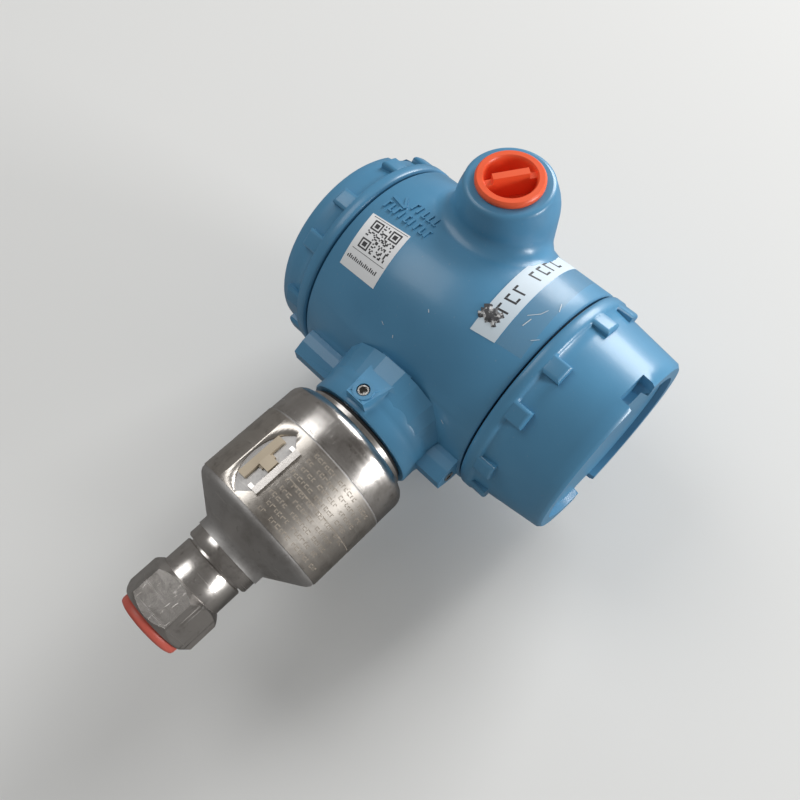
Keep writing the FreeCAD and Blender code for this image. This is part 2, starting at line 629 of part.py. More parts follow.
def conduit_bore(side):
    d = X * side
    centre = V(0, CONDUIT_Y, CONDUIT_Z)
    mouth = CONDUIT_FACE - CONDUIT_MOUTH_DEPTH
    wall_top = mouth - 1.2
    wall_low = wall_top - CONDUIT_WALL_LENGTH
    wide = NPT_DRILL_RADIUS + CONDUIT_RELIEF
    return turned([
        (0, 14), (wide, 14), (wide, wall_low - CONDUIT_RELIEF), (NPT_DRILL_RADIUS, wall_low),
        (NPT_DRILL_RADIUS, wall_top), (NPT_MOUTH_RADIUS - 0.25, mouth),
        (NPT_MOUTH_RADIUS, CONDUIT_FACE - 0.5), (NPT_MOUTH_RADIUS + 0.5, CONDUIT_FACE),
        (NPT_MOUTH_RADIUS + 0.5, CONDUIT_FACE + 1), (0, CONDUIT_FACE + 1)], centre, d, Y)


def neck_plan(radius, z):
    """Corners of the faceted neck at a height: flats that follow a circle."""
    turns = list(NECK_FACET_ANGLES) + [180 - a for a in reversed(NECK_FACET_ANGLES)]
    pts = []
    for a in turns + [180 + t for t in turns]:
        pts.append(V(-radius * math.cos(math.radians(a)), -radius * math.sin(math.radians(a)), z))
    return pts


def neck_parts():
    """Collar, faceted neck, set-screw pad and cover-lock lugs under the drum."""
    top = AXIS_Z - COMPARTMENT_RADIUS
    flare = COLLAR_OUTER_RADIUS + COLLAR_FLARE
    bend = NECK_LOW + NECK_FACET_START
    collar = turned([
        (0, NECK_LOW), (COLLAR_OUTER_RADIUS - 0.5, NECK_LOW), (COLLAR_OUTER_RADIUS, NECK_LOW + 0.5),
        (COLLAR_OUTER_RADIUS, NECK_LOW + COLLAR_HEIGHT_STRAIGHT), (flare, bend), (flare, top), (0, top)])
    parts = [collar]
    low_plan = neck_plan(flare - NECK_FACET_START_INSET, bend - 1.0)
    high_plan = neck_plan(flare + NECK_FACET_STAND, top)
    parts.append(Part.makeLoft([Part.makePolygon(p + [p[0]]) for p in (low_plan, high_plan)], True, True))
    # pad: slanting face from the set screw up onto the drum
    low_z = NECK_LOW + PAD_LOW_RISE
    high_z = NECK_LOW + PAD_TOP_RISE
    low_x = COLLAR_OUTER_RADIUS + PAD_LOW_STAND
    face = [V(-low_x, SET_SCREW_Y - PAD_LOW_HALF, low_z), V(-low_x, SET_SCREW_Y + PAD_LOW_HALF, low_z),
            V(-PAD_TOP_X, PAD_TOP_LEFT, high_z), V(-PAD_TOP_X, -PAD_TOP_RIGHT, high_z)]
    back = [V(-COLLAR_OUTER_RADIUS / 2, p.y * 1.5, p.z) for p in face]
    parts.append(Part.makeLoft([Part.makePolygon(p + [p[0]]) for p in (face, back)], True, True))
    ring_low = COLLAR_OUTER_RADIUS / 2
    parts.append(rod(SET_RING_RADIUS, ring_low, SET_FACE + SET_RING_STAND, X * -1, V(0, SET_SCREW_Y, SET_Z)))
    for y0, y1 in ((LUG_FRONT_END, -LUG_ROOT), (LUG_ROOT, LUG_BACK_END)):
        half = [(LUG_FOOT_HALF, 0), (LUG_HALF_WIDTH - LUG_BEVEL_INSET, LUG_BEVEL_LOW),
                (LUG_HALF_WIDTH, LUG_BEVEL_HIGH), (LUG_HALF_WIDTH, LUG_HEIGHT)]
        pts = [V(x, y0, LUG_LOW + h) for x, h in half] + [V(-x, y0, LUG_LOW + h) for x, h in reversed(half)]
        parts.append(prism(pts, V(0, y1 - y0, 0)))
    return parts


def housing():
    drum = turned_y([
        (0, HOUSING_FRONT), (HOUSING_RADIUS - RIM_EDGE, HOUSING_FRONT), (HOUSING_RADIUS, HOUSING_FRONT + RIM_EDGE),
        (HOUSING_RADIUS, HOUSING_BACK - RIM_EDGE), (HOUSING_RADIUS - RIM_EDGE, HOUSING_BACK), (0, HOUSING_BACK)])
    drum = drum.fuse(conduit_bosses()).removeSplitter()
    seams = [e for e in drum.Edges if is_boss_seam(e)]
    drum = drum.makeFillet(CONDUIT_FILLET, seams)
    for part in neck_parts():
        drum = drum.fuse(part)
    # the drum's own outline trims what reaches inside it
    drum = drum.removeSplitter()
    front = turned_y([
        (0, HOUSING_FRONT - 1), (RING_SEAT_RADIUS, HOUSING_FRONT - 1),
        (RING_SEAT_RADIUS, HOUSING_FRONT + COVER_RING_SEAT_DEPTH), (MOUTH_RADIUS, HOUSING_FRONT + COVER_RING_SEAT_DEPTH + 1),
        (MOUTH_RADIUS, HOUSING_FRONT + COVER_THREAD_LENGTH + 1), (COMPARTMENT_RADIUS, HOUSING_FRONT + COVER_THREAD_LENGTH + 2),
        (COMPARTMENT_RADIUS, PARTITION_FRONT - 2), (COMPARTMENT_RADIUS - 2, PARTITION_FRONT), (0, PARTITION_FRONT)])
    back = turned_y([
        (0, HOUSING_BACK + 1), (RING_SEAT_RADIUS, HOUSING_BACK + 1),
        (RING_SEAT_RADIUS, HOUSING_BACK - COVER_RING_SEAT_DEPTH), (MOUTH_RADIUS, HOUSING_BACK - COVER_RING_SEAT_DEPTH - 1),
        (MOUTH_RADIUS, HOUSING_BACK - COVER_THREAD_LENGTH - 1), (COMPARTMENT_RADIUS, HOUSING_BACK - COVER_THREAD_LENGTH - 2),
        (COMPARTMENT_RADIUS, PARTITION_FACE + 2), (COMPARTMENT_RADIUS - 2, PARTITION_FACE), (0, PARTITION_FACE)])
    drum = drum.cut(front).cut(back)
    for side in (-1, 1):
        drum = drum.cut(conduit_bore(side))
    # neck bore and the wire passage into the electronics compartment
    drum = drum.cut(rod(NECK_BORE, NECK_LOW - 1, SPIGOT_TOP + 1.5))
    drum = drum.cut(rod(WIRE_HOLE_RADIUS, SPIGOT_TOP, AXIS_Z - COMPARTMENT_RADIUS + 6, Z, V(0, WIRE_HOLE_Y, 0)))
    # set screw, jam screws, feed-through
    drum = drum.cut(rod(SET_SCREW_RADIUS, NECK_BORE - 2, SET_FACE + 4, X * -1, V(0, SET_SCREW_Y, SET_Z)))
    for end, out in ((LUG_FRONT_END, Y * -1), (LUG_BACK_END, Y)):
        centre = V(0, end, LUG_LOW + JAM_SCREW_RISE)
        drum = drum.cut(rod(JAM_SCREW_RADIUS, -JAM_SCREW_LENGTH, 1, out, centre))
    drum = drum.cut(rod(FEED_RADIUS, PARTITION_FRONT - 1, PARTITION_FACE + 1, Y, V(0, 0, AXIS_Z + FEED_RISE)))
    # bosses inside: carrier screws, block screws, ground pad
    for p in carrier_screw_places():
        drum = drum.fuse(rod(CARRIER_BOSS_RADIUS, PARTITION_FRONT - CARRIER_STAND, PARTITION_FRONT, Y, p))
        drum = drum.cut(rod(CARRIER_SCREW_RADIUS, PARTITION_FRONT - CARRIER_STAND - 1,
                            PARTITION_FRONT + SCREW_DEPTH * 0.4, Y, p))
    for p in block_screw_places():
        drum = drum.cut(rod(BLOCK_SCREW_RADIUS, PARTITION_FACE - SCREW_DEPTH * 0.6, PARTITION_FACE + 1, Y, p))
    return drum.removeSplitter()


def is_boss_seam(edge):
    """Edges where a conduit boss meets the drum: they lie on the drum's surface, away from its rims."""
    box_ = edge.BoundBox
    if box_.YMin < HOUSING_FRONT + 2 or box_.YMax > HOUSING_BACK - 2:
        return False
    for k in range(5):
        t = edge.FirstParameter + (edge.LastParameter - edge.FirstParameter) * (k + 0.5) / 5
        p = edge.valueAt(t)
        if abs(math.hypot(p.x, p.z - AXIS_Z) - HOUSING_RADIUS) > 0.05:
            return False
        if abs(math.hypot(p.y - CONDUIT_Y, p.z - CONDUIT_Z) - CONDUIT_ROOT_RADIUS) > 0.05:
            return False
    return True


def carrier_screw_places():
    return [V(s * CARRIER_SCREW_CIRCLE, 0, AXIS_Z) for s in (-1, 1)]


def block_screw_places():
    a = math.radians(BLOCK_SCREW_ANGLE)
    return [V(s * BLOCK_SCREW_CIRCLE * math.cos(a), 0, AXIS_Z - BLOCK_SCREW_CIRCLE * math.sin(a)) for s in (-1, 1)]


# ---------------------------------------------------------------- covers
def cover(face, direction, length, root, end, lug_start, slot_turn):
    """Threaded cover: face is the flange's inner face, direction is -1 or +1 along Y."""
    def at(d):
        return face + direction * d
    body = turned_y([
        (0, at(0)), (FLANGE_RADIUS - FLANGE_EDGE, at(0)), (FLANGE_RADIUS - FLANGE_EDGE * 0.3, at(FLANGE_EDGE * 0.3)),
        (FLANGE_RADIUS, at(FLANGE_EDGE)),
        (FLANGE_RADIUS, at(FLANGE_LENGTH - FLANGE_EDGE)), (FLANGE_RADIUS - FLANGE_EDGE, at(FLANGE_LENGTH)),
        (root, at(FLANGE_LENGTH + 0.4)), (end, at(length - COVER_END_EDGE)), (end - COVER_END_EDGE, at(length)),
        (0, at(length))])
    lug = cover_lug(at, root)
    for k in range(COVER_LUG_PAIRS):
        for extra in (0.0, COVER_LUG_SPACING):
            body = body.fuse(lug.rotated(AXIS_POINT, Y, lug_start + extra + 360.0 / COVER_LUG_PAIRS * k))
    body = body.removeSplitter()
    # spanner notches across the end
    for half_turn in (0, 180):
        body = body.cut(spanner_notch(slot_turn + half_turn, at, end, length))
    # skirt with the male thread, and the hollow
    body = body.fuse(turned_y([
        (0, at(0.5)), (COVER_THREAD_RADIUS, at(0.5)), (COVER_THREAD_RADIUS, at(-COVER_SKIRT_LENGTH + 0.8)),
        (COVER_THREAD_RADIUS - 0.8, at(-COVER_SKIRT_LENGTH)), (0, at(-COVER_SKIRT_LENGTH))]))
    rim = end - COVER_RIM_WIDTH
    body = body.cut(turned_y([
        (0, at(length - COVER_RECESS_DEPTH)), (rim - 0.6, at(length - COVER_RECESS_DEPTH)), (rim, at(length + 1)),
        (0, at(length + 1))]))
    deep = length - COVER_RECESS_DEPTH - COVER_WALL
    shallow = length - SLOT_DEPTH - COVER_WALL
    inner = end - SLOT_REACH - COVER_WALL
    body = body.cut(turned_y([
        (0, at(-COVER_SKIRT_LENGTH - 1)), (COVER_BORE_RADIUS, at(-COVER_SKIRT_LENGTH - 1)),
        (COVER_BORE_RADIUS, at(shallow - 3)), (COVER_BORE_RADIUS - 3, at(shallow)), (inner, at(shallow)),
        (inner, at(deep)), (0, at(deep))]))
    return body.removeSplitter()


def cover_lug(at, root):
    """Rounded lug that stands on the cover beside its flange, made where its arc has no seam and turned to -X."""
    near, far = at(FLANGE_LENGTH - 1.5), at(FLANGE_LENGTH + COVER_LUG_LENGTH)
    clear_turn = 20.0
    raw = wedge(COVER_LUG_RADIUS + 2, clear_turn, COVER_LUG_SPAN, min(near, far), max(near, far))
    shape = turned_y([(root - 4.5, near), (COVER_LUG_RADIUS, near), (COVER_LUG_RADIUS, far), (root - 4.5, far)])
    lug = raw.common(shape)
    outer = [e for e in lug.Edges if is_lug_corner(e, root)]
    return lug.makeFillet(COVER_LUG_EDGE, outer).rotated(AXIS_POINT, Y, -clear_turn)


def is_lug_corner(edge, root):
    """A lug's long corners, outside the cover's body: those that run out from the cover or along it."""
    mid = edge.valueAt((edge.FirstParameter + edge.LastParameter) / 2)
    return math.hypot(mid.x, mid.z - AXIS_Z) > root - 1 and len(edge.Vertexes) == 2


def spanner_notch(degrees, at, end, length):
    """Pocket cut in from the cover's edge, open at the rim and at the end face."""
    a = math.radians(degrees)
    out = V(-math.cos(a), 0, math.sin(a))
    side = Y.cross(out)
    y0 = at(length - SLOT_DEPTH)
    y1 = at(length + 2)
    inner = end - SLOT_REACH
    half = SLOT_SPAN / 2
    base = V(0, min(y0, y1), AXIS_Z)
    pts = [base + out * (end + 4) - side * half, base + out * (end + 4) + side * half,
           base + out * (inner + 2.4) + side * half, base + out * inner + side * (half - 2.4),
           base + out * inner - side * (half - 2.4), base + out * (inner + 2.4) - side * half]
    return prism(pts, V(0, abs(y1 - y0), 0))


def cover_o_ring(face, direction):
    return ring(RING_RADIUS, COVER_RING_TUBE, V(0, face - direction * (COVER_RING_TUBE + 0.1), AXIS_Z), Y)


def electronics_cover():
    root = FLANGE_RADIUS - FRONT_COVER_ROOT_STEP
    return cover(FRONT_FLANGE_FACE, -1, FRONT_COVER_LENGTH, root, root - FRONT_COVER_TAPER,
                 FRONT_LUG_START, FRONT_SLOT_TURN)


def terminal_cover():
    root = FLANGE_RADIUS - BACK_COVER_ROOT_STEP
    return cover(BACK_FLANGE_FACE, 1, BACK_COVER_LENGTH, root, root - BACK_COVER_TAPER,
                 BACK_LUG_START, BACK_SLOT_TURN)


# ---------------------------------------------------------------- plugs, cap and screws
def conduit_plug():
    """Plastic plug: flanged cup with a crossbar to grip."""
    centre = V(0, CONDUIT_Y, CONDUIT_Z)
    d = X * -1
    shank_root = NPT_MOUTH_RADIUS - PLUG_SHANK_CLEARANCE
    low = CONDUIT_FACE - PLUG_SHANK_LENGTH
    face = CONDUIT_FACE
    top = face + PLUG_FLANGE_THICKNESS
    body = turned([
        (0, low), (shank_root - PLUG_SHANK_TAPER - 0.6, low), (shank_root - PLUG_SHANK_TAPER, low + 0.6),
        (shank_root - 0.25, face), (PLUG_FLANGE_RADIUS - 0.2, face), (PLUG_FLANGE_RADIUS, face + 0.3),
        (PLUG_FLANGE_RADIUS, top - 0.7), (PLUG_FLANGE_RADIUS - 0.7, top), (0, top)], centre, d, Y)
    floor = max(low + PLUG_FLOOR, top - PLUG_CUP_DEPTH)
    cup = turned([
        (0, floor), (PLUG_CUP_RADIUS - 1.2, floor), (PLUG_CUP_RADIUS - 0.5, floor + 0.8),
        (PLUG_CUP_RADIUS, top - 0.5), (PLUG_CUP_RADIUS + 0.5, top + 0.01), (0, top + 0.01)], centre, d, Y)
    body = body.cut(cup)
    a = math.radians(PLUG_BAR_TURN)
    along = V(0, math.cos(a), math.sin(a))
    across = d.cross(along)
    bar_top = top - PLUG_BAR_DROP

    def bar(half_length, half_width, low_x, high_x):
        base = centre + d * low_x
        pts = [base + along * s * half_length + across * t * half_width
               for s, t in ((-1, -1), (1, -1), (1, 1), (-1, 1))]
        return prism(pts, d * (high_x - low_x))
    rim = turned([(0, floor - 0.5), (PLUG_CUP_RADIUS + 0.2, floor - 0.5), (PLUG_CUP_RADIUS + 0.2, top + 8), (0, top + 8)],
                 centre, d, Y)
    cross = bar(PLUG_CUP_RADIUS + 1, PLUG_BAR_THICKNESS / 2, floor - 0.4, bar_top).common(rim)
    grip = bar(PLUG_GRIP_LENGTH / 2, PLUG_BAR_THICKNESS / 2, floor - 0.4, bar_top + PLUG_GRIP_RISE)
    return fuse(body, cross, grip)


def process_cap():
    """Plastic cap in the mouth of the process connection: a flange with a hollow shank."""
    shank = NPT_MOUTH_RADIUS - CAP_SHANK_CLEARANCE
    low = FACE_Z - CAP_FLANGE_THICKNESS
    top = FACE_Z + CAP_SHANK_LENGTH
    return turned([
        (0, low - 0.5), (CAP_FLANGE_RADIUS * 0.55, low - 0.4), (CAP_FLANGE_RADIUS - CAP_EDGE, low),
        (CAP_FLANGE_RADIUS - CAP_EDGE * 0.3, low + CAP_EDGE * 0.3), (CAP_FLANGE_RADIUS, low + CAP_EDGE),
        (CAP_FLANGE_RADIUS, FACE_Z - 0.9), (CAP_FLANGE_RADIUS - 0.5, FACE_Z), (shank, FACE_Z),
        (shank - 0.35, top), (shank - 0.35 - CAP_SHANK_WALL, top), (shank - CAP_SHANK_WALL, FACE_Z), (0, FACE_Z)])


def conduit_blank():
    """Steel pipe plug in the far conduit entry, with a hex socket."""
    centre = V(0, CONDUIT_Y, CONDUIT_Z)
    high = CONDUIT_FACE - BLANK_PLUG_RECESS
    low = high - BLANK_PLUG_LENGTH
    mouth = CONDUIT_FACE - CONDUIT_MOUTH_DEPTH
    body = turned([
        (0, low), (NPT_DRILL_RADIUS - 0.1, low), (NPT_DRILL_RADIUS - 0.1, mouth - 1.2),
        (NPT_MOUTH_RADIUS - 0.3, mouth), (NPT_MOUTH_RADIUS - 0.05, high - 0.8), (NPT_MOUTH_RADIUS - 0.8, high), (0, high)],
        centre, X, Y)
    socket = hexagon(BLANK_SOCKET_FLATS, high - BLANK_SOCKET_DEPTH, high + 1, 0, X, centre, Y)
    return body.cut(socket)


def rotation_set_screw():
    tip = SPIGOT_RADIUS - SPIGOT_GROOVE_DEPTH + SET_SCREW_TIP_GAP
    high = SET_FACE + SET_RING_STAND - SET_SCREW_SINK
    centre = V(0, SET_SCREW_Y, SET_Z)
    d = X * -1
    body = turned([
        (0, tip), (SET_SCREW_RADIUS - 0.9, tip), (SET_SCREW_RADIUS - 0.02, tip + 1), (SET_SCREW_RADIUS - 0.02, high - 0.5),
        (SET_SCREW_RADIUS - 0.5, high), (0, high)], centre, d, Y)
    socket = hexagon(SET_SCREW_RADIUS * 1.1, high - 2.4, high + 1, 0, d, centre, Y)
    return body.cut(socket)


def jam_screws():
    screws = []
    for end, out in ((LUG_FRONT_END, Y * -1), (LUG_BACK_END, Y)):
        centre = V(0, end, LUG_LOW + JAM_SCREW_RISE)
        body = rod(JAM_SCREW_RADIUS - 0.02, -JAM_SCREW_LENGTH + 0.5, JAM_SCREW_STAND, out, centre)
        socket = hexagon(JAM_SCREW_RADIUS, JAM_SCREW_STAND - 1.8, JAM_SCREW_STAND + 1, 0, out, centre, X)
        screws.append(body.cut(socket))
    return Part.makeCompound(screws)


# ---------------------------------------------------------------- inside the housing
CARRIER_BACK = PARTITION_FRONT - CARRIER_STAND
CARRIER_FRONT = CARRIER_BACK - CARRIER_DEPTH


def electronics_carrier():
    """Moulded cup that holds the electronics against the partition."""
    cup = round_y(CARRIER_RADIUS, CARRIER_FRONT, CARRIER_BACK)
    cup = cup.cut(round_y(CARRIER_RADIUS - CARRIER_WALL, CARRIER_FRONT - 1, CARRIER_BACK - CARRIER_WALL))
    for p in carrier_screw_places():
        post = rod(CARRIER_BOSS_RADIUS, CARRIER_FRONT + BOARD_THICKNESS, CARRIER_BACK, Y, p)
        cup = cup.fuse(post)
        cup = cup.cut(rod(CARRIER_SCREW_RADIUS + 0.15, CARRIER_FRONT - 1, CARRIER_BACK + 1, Y, p))
    cup = cup.cut(rod(FEED_RADIUS + 0.4, CARRIER_BACK - CARRIER_WALL - 1, CARRIER_BACK + 1, Y, V(0, 0, AXIS_Z + FEED_RISE)))
    return cup.removeSplitter()


def main_board():
    board = round_y(CARRIER_RADIUS - CARRIER_WALL - 0.15, CARRIER_FRONT, CARRIER_FRONT + BOARD_THICKNESS)
    for p in carrier_screw_places():
        board = board.cut(rod(CARRIER_SCREW_RADIUS + 0.15, CARRIER_FRONT - 1, CARRIER_FRONT + BOARD_THICKNESS + 1, Y, p))
    return board


def board_chips():
    """Packages on the main board's front face."""
    y1 = CARRIER_FRONT
    chips = []
    for x, z in ((-10, 9), (9, 11), (2, -13)):
        chips.append(box(x - CHIP_SIZE / 2, x + CHIP_SIZE / 2, y1 - CHIP_HEIGHT, y1, AXIS_Z + z - CHIP_SIZE / 2,
                         AXIS_Z + z + CHIP_SIZE / 2))
    return Part.makeCompound(chips)


def display_socket():
    y1 = CARRIER_FRONT
    body = box(-SOCKET_LENGTH / 2, SOCKET_LENGTH / 2, y1 - SOCKET_HEIGHT, y1, AXIS_Z - SOCKET_WIDTH / 2 - 1,
               AXIS_Z + SOCKET_WIDTH / 2 - 1)
    return body.cut(box(-SOCKET_LENGTH / 2 + 1.5, SOCKET_LENGTH / 2 - 1.5, y1 - SOCKET_HEIGHT - 1, y1 - 1.5,
                        AXIS_Z - SOCKET_WIDTH / 2 + 0.5, AXIS_Z + SOCKET_WIDTH / 2 - 2.5))


def carrier_screws():
    reach = CARRIER_DEPTH + CARRIER_STAND + SCREW_DEPTH * 0.3
    return Part.makeCompound([
        headed_screw(CARRIER_SCREW_RADIUS - 0.02, reach, CARRIER_SCREW_HEAD, CARRIER_SCREW_HEAD_HEIGHT, Y * -1,
                     p + Y * CARRIER_FRONT, Z) for p in carrier_screw_places()])


def feed_through():
    """Insulator in the partition with its pins."""
    centre = V(0, 0, AXIS_Z + FEED_RISE)
    body = rod(FEED_RADIUS - 0.02, PARTITION_FRONT, PARTITION_FACE, Y, centre)
    pins = []
    for k in range(4):
        a = math.radians(45 + 90 * k)
        c = centre + V(FEED_PIN_CIRCLE * math.cos(a), 0, FEED_PIN_CIRCLE * math.sin(a))
        pins.append(rod(FEED_PIN_RADIUS, PARTITION_FRONT - FEED_PIN_REACH, PARTITION_FACE, Y, c))
    return fuse(body, *pins)


BLOCK_LOW = PARTITION_FACE
BLOCK_FACE = PARTITION_FACE + BLOCK_DEPTH


def terminal_places():
    return [V((k - (TERMINAL_COUNT - 1) / 2) * TERMINAL_PITCH, 0, AXIS_Z - TERMINAL_DROP) for k in range(TERMINAL_COUNT)]


def terminal_block():
    """Potted terminal block with a barrier between the screws."""
    block = round_y(BLOCK_RADIUS, BLOCK_LOW, BLOCK_FACE)
    block = block.cut(box(-BLOCK_RADIUS - 1, BLOCK_RADIUS + 1, BLOCK_LOW - 1, BLOCK_FACE + 1, AXIS_Z + BLOCK_CUT_RISE,
                          AXIS_Z + BLOCK_RADIUS + 1))
    for k in range(TERMINAL_COUNT + 1):
        x = (k - TERMINAL_COUNT / 2) * TERMINAL_PITCH
        block = block.fuse(box(x - BLOCK_RIB_THICKNESS / 2, x + BLOCK_RIB_THICKNESS / 2, BLOCK_FACE - 1,
                               BLOCK_FACE + BLOCK_RIB_HEIGHT, AXIS_Z - TERMINAL_DROP - 8, AXIS_Z - TERMINAL_DROP + 8))
    for p in terminal_places():
        block = block.cut(rod(TERMINAL_SCREW_RADIUS, BLOCK_FACE - SCREW_DEPTH * 2, BLOCK_FACE + 1, Y, p))
    for p in block_screw_places():
        block = block.cut(rod(BLOCK_SCREW_RADIUS + 0.1, BLOCK_LOW - 1, BLOCK_FACE + 1, Y, p))
        block = block.cut(rod(BLOCK_HEAD_RADIUS + 0.5, BLOCK_FACE - 4, BLOCK_FACE + 1, Y, p))
    ground = ground_place()
    block = block.cut(rod(GROUND_SCREW_RADIUS, BLOCK_FACE - SCREW_DEPTH * 2, BLOCK_FACE + 1, Y, ground))
    return block.removeSplitter()


def terminal_screws():
    return Part.makeCompound([
        headed_screw(TERMINAL_SCREW_RADIUS - 0.02, SCREW_DEPTH * 1.8 + TERMINAL_CLAMP_THICKNESS, TERMINAL_HEAD_RADIUS,
                     TERMINAL_HEAD_HEIGHT, Y, p + Y * (BLOCK_FACE + TERMINAL_CLAMP_THICKNESS), Z)
        for p in terminal_places()])


def terminal_clamps():
    plates = []
    half = TERMINAL_CLAMP_SIDE / 2
    for p in terminal_places():
        plate = box(p.x - half, p.x + half, BLOCK_FACE, BLOCK_FACE + TERMINAL_CLAMP_THICKNESS, p.z - half, p.z + half)
        plates.append(plate.cut(rod(TERMINAL_SCREW_RADIUS + 0.1, BLOCK_FACE - 1, BLOCK_FACE + 4, Y, p)))
    return Part.makeCompound(plates)


def block_screws():
    seat = BLOCK_FACE - 4
    return Part.makeCompound([
        headed_screw(BLOCK_SCREW_RADIUS - 0.02, seat - PARTITION_FACE + SCREW_DEPTH * 0.5, BLOCK_HEAD_RADIUS,
                     BLOCK_HEAD_HEIGHT, Y, p + Y * seat, Z) for p in block_screw_places()])


def ground_place():
    return V(0, 0, AXIS_Z - GROUND_DROP)


def ground_screw():
    return headed_screw(GROUND_SCREW_RADIUS - 0.02, SCREW_DEPTH * 1.8 + GROUND_WASHER_THICKNESS, GROUND_HEAD_RADIUS,
                        GROUND_HEAD_HEIGHT, Y, ground_place() + Y * (BLOCK_FACE + GROUND_WASHER_THICKNESS), Z)


def ground_washer():
    p = ground_place()
    return tube(GROUND_HEAD_RADIUS + 1.2, GROUND_SCREW_RADIUS + 0.1, BLOCK_FACE, BLOCK_FACE + GROUND_WASHER_THICKNESS, Y, p)


PIECES = {
    "process_connection": process_connection,
    "sensor_shell": sensor_shell,
    "sensor_top_ring": top_ring,
    "neck_o_ring": neck_o_ring,
    "nameplate_band": nameplate_band,
    "band_clip": band_clip,
    "band_hasp": band_hasp,
    "isolating_diaphragm": isolating_diaphragm,
    "pressure_capsule": pressure_capsule,
    "fill_tube": fill_tube,
    "sensor_posts": sensor_posts,
    "sensor_board": sensor_board,
    "header_stem": header_stem,
    "cable_header": cable_header,
    "housing": housing,
    "electronics_cover": electronics_cover,
    "terminal_cover": terminal_cover,
    "electronics_cover_o_ring": lambda: cover_o_ring(FRONT_FLANGE_FACE, -1),
    "terminal_cover_o_ring": lambda: cover_o_ring(BACK_FLANGE_FACE, 1),
    "conduit_plug": conduit_plug,
    "conduit_blank": conduit_blank,
    "process_cap": process_cap,
    "rotation_set_screw": rotation_set_screw,
    "jam_screws": jam_screws,
    "electronics_carrier": electronics_carrier,
    "main_board": main_board,
    "board_chips": board_chips,
    "display_socket": display_socket,
    "carrier_screws": carrier_screws,
    "feed_through": feed_through,
    "terminal_block": terminal_block,
    "terminal_screws": terminal_screws,
    "terminal_clamps": terminal_clamps,
    "block_screws": block_screws,
    "ground_screw": ground_screw,
    "ground_washer": ground_washer,
}

os.makedirs("parts", exist_ok=True)
for name, make in PIECES.items():
    shape = make()
    print(f"{name:28s} solids {len(shape.Solids)}  volume {shape.Volume:10.1f}  valid {shape.isValid()}")
    shape.exportStep(f"parts/{name}.step")
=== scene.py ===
"""Looks for the in-line pressure transmitter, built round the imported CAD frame.

Metres, row frame: +Z up the sensor axis, +Y along the cover axis towards the terminals cover,
-X out of the plugged entry.
"""
import json
import math

import bpy
import bmesh
from mathutils import Euler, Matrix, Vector


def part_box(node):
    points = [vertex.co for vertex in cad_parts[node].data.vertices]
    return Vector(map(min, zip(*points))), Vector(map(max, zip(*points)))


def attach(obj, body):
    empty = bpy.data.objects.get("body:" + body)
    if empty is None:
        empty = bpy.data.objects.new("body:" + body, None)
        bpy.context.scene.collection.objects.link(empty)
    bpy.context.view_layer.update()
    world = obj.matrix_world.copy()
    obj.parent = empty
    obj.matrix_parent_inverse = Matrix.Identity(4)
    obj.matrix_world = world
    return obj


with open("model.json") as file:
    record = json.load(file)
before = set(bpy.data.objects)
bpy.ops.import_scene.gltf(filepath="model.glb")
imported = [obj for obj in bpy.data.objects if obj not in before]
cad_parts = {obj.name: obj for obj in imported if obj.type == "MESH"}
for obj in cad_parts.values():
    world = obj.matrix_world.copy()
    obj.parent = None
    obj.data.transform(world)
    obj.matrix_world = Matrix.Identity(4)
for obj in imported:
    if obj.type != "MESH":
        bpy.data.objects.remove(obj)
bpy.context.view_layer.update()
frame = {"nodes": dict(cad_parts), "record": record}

MM = 0.001

# ---------------------------------------------------------------- places taken from the frame
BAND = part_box("nameplate_band")
COVER_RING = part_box("electronics_cover_o_ring")
DRUM_AXIS_Z = (COVER_RING[0][2] + COVER_RING[1][2]) / 2
DRUM_RADIUS = 43.0 * MM
BAND_RADIUS = BAND[1][0]
BAND_FOOT = BAND[0][2]

# ---------------------------------------------------------------- shader nodes
MIX_FACTOR, MIX_UNDER, MIX_OVER = 0, 6, 7  # a colour Mix node's inputs
MIX_RESULT = 2  # and its output


def node(tree, kind, values=None, **settings):
    """A new node; values go to its inputs, by name or number, and settings to the node itself."""
    made = tree.nodes.new(kind)
    for key, value in settings.items():
        setattr(made, key, value)
    for key, value in (values or {}).items():
        made.inputs[key].default_value = value
    return made


def mix_shaders(tree, mask, under, over):
    mix = node(tree, "ShaderNodeMixShader")
    for socket, output in enumerate((mask, under, over)):
        tree.links.new(output, mix.inputs[socket])
    return mix.outputs[0]


# ---------------------------------------------------------------- camera, lamps and world
CAMERA_PLACE = (-239.98 * MM, -89.15 * MM, 28.12 * MM)
CAMERA_TURN = (113.86, -45.22, -87.25)
CAMERA_LENS = 32.4
CAMERA_SENSOR = 36.0
CAMERA_NEAR = 5 * MM

LAMP_TARGET = (0.0, 0.0, 0.10)
LAMPS = {  # place, side of the square, watts
    "key": ((-0.90, 0.04, 2.00), 1.1, 42.0),
    "side": ((-0.25, -1.00, 0.55), 0.35, 7.5),
    "fill": ((-0.80, 0.50, 0.05), 0.5, 2.2),
    "back": ((0.60, 0.10, 0.35), 0.8, 3.0),
}

PALE = (0.68, 0.68, 0.67)
MIRRORED = (0.17, 0.165, 0.16)  # what polished metal mirrors of the room
WORLD_LIT = 0.46

BACKDROP_X = 59.0 * MM
BACKDROP_HALF = 1.6
BACKDROP_ROUGHNESS = 0.85


def make_camera():
    data = bpy.data.cameras.new("camera")
    data.lens = CAMERA_LENS
    data.sensor_width = CAMERA_SENSOR
    data.clip_start = CAMERA_NEAR
    camera = bpy.data.objects.new("camera", data)
    camera.location = CAMERA_PLACE
    camera.rotation_euler = Euler([math.radians(a) for a in CAMERA_TURN], "XYZ")
    bpy.context.scene.collection.objects.link(camera)
    bpy.context.scene.camera = camera


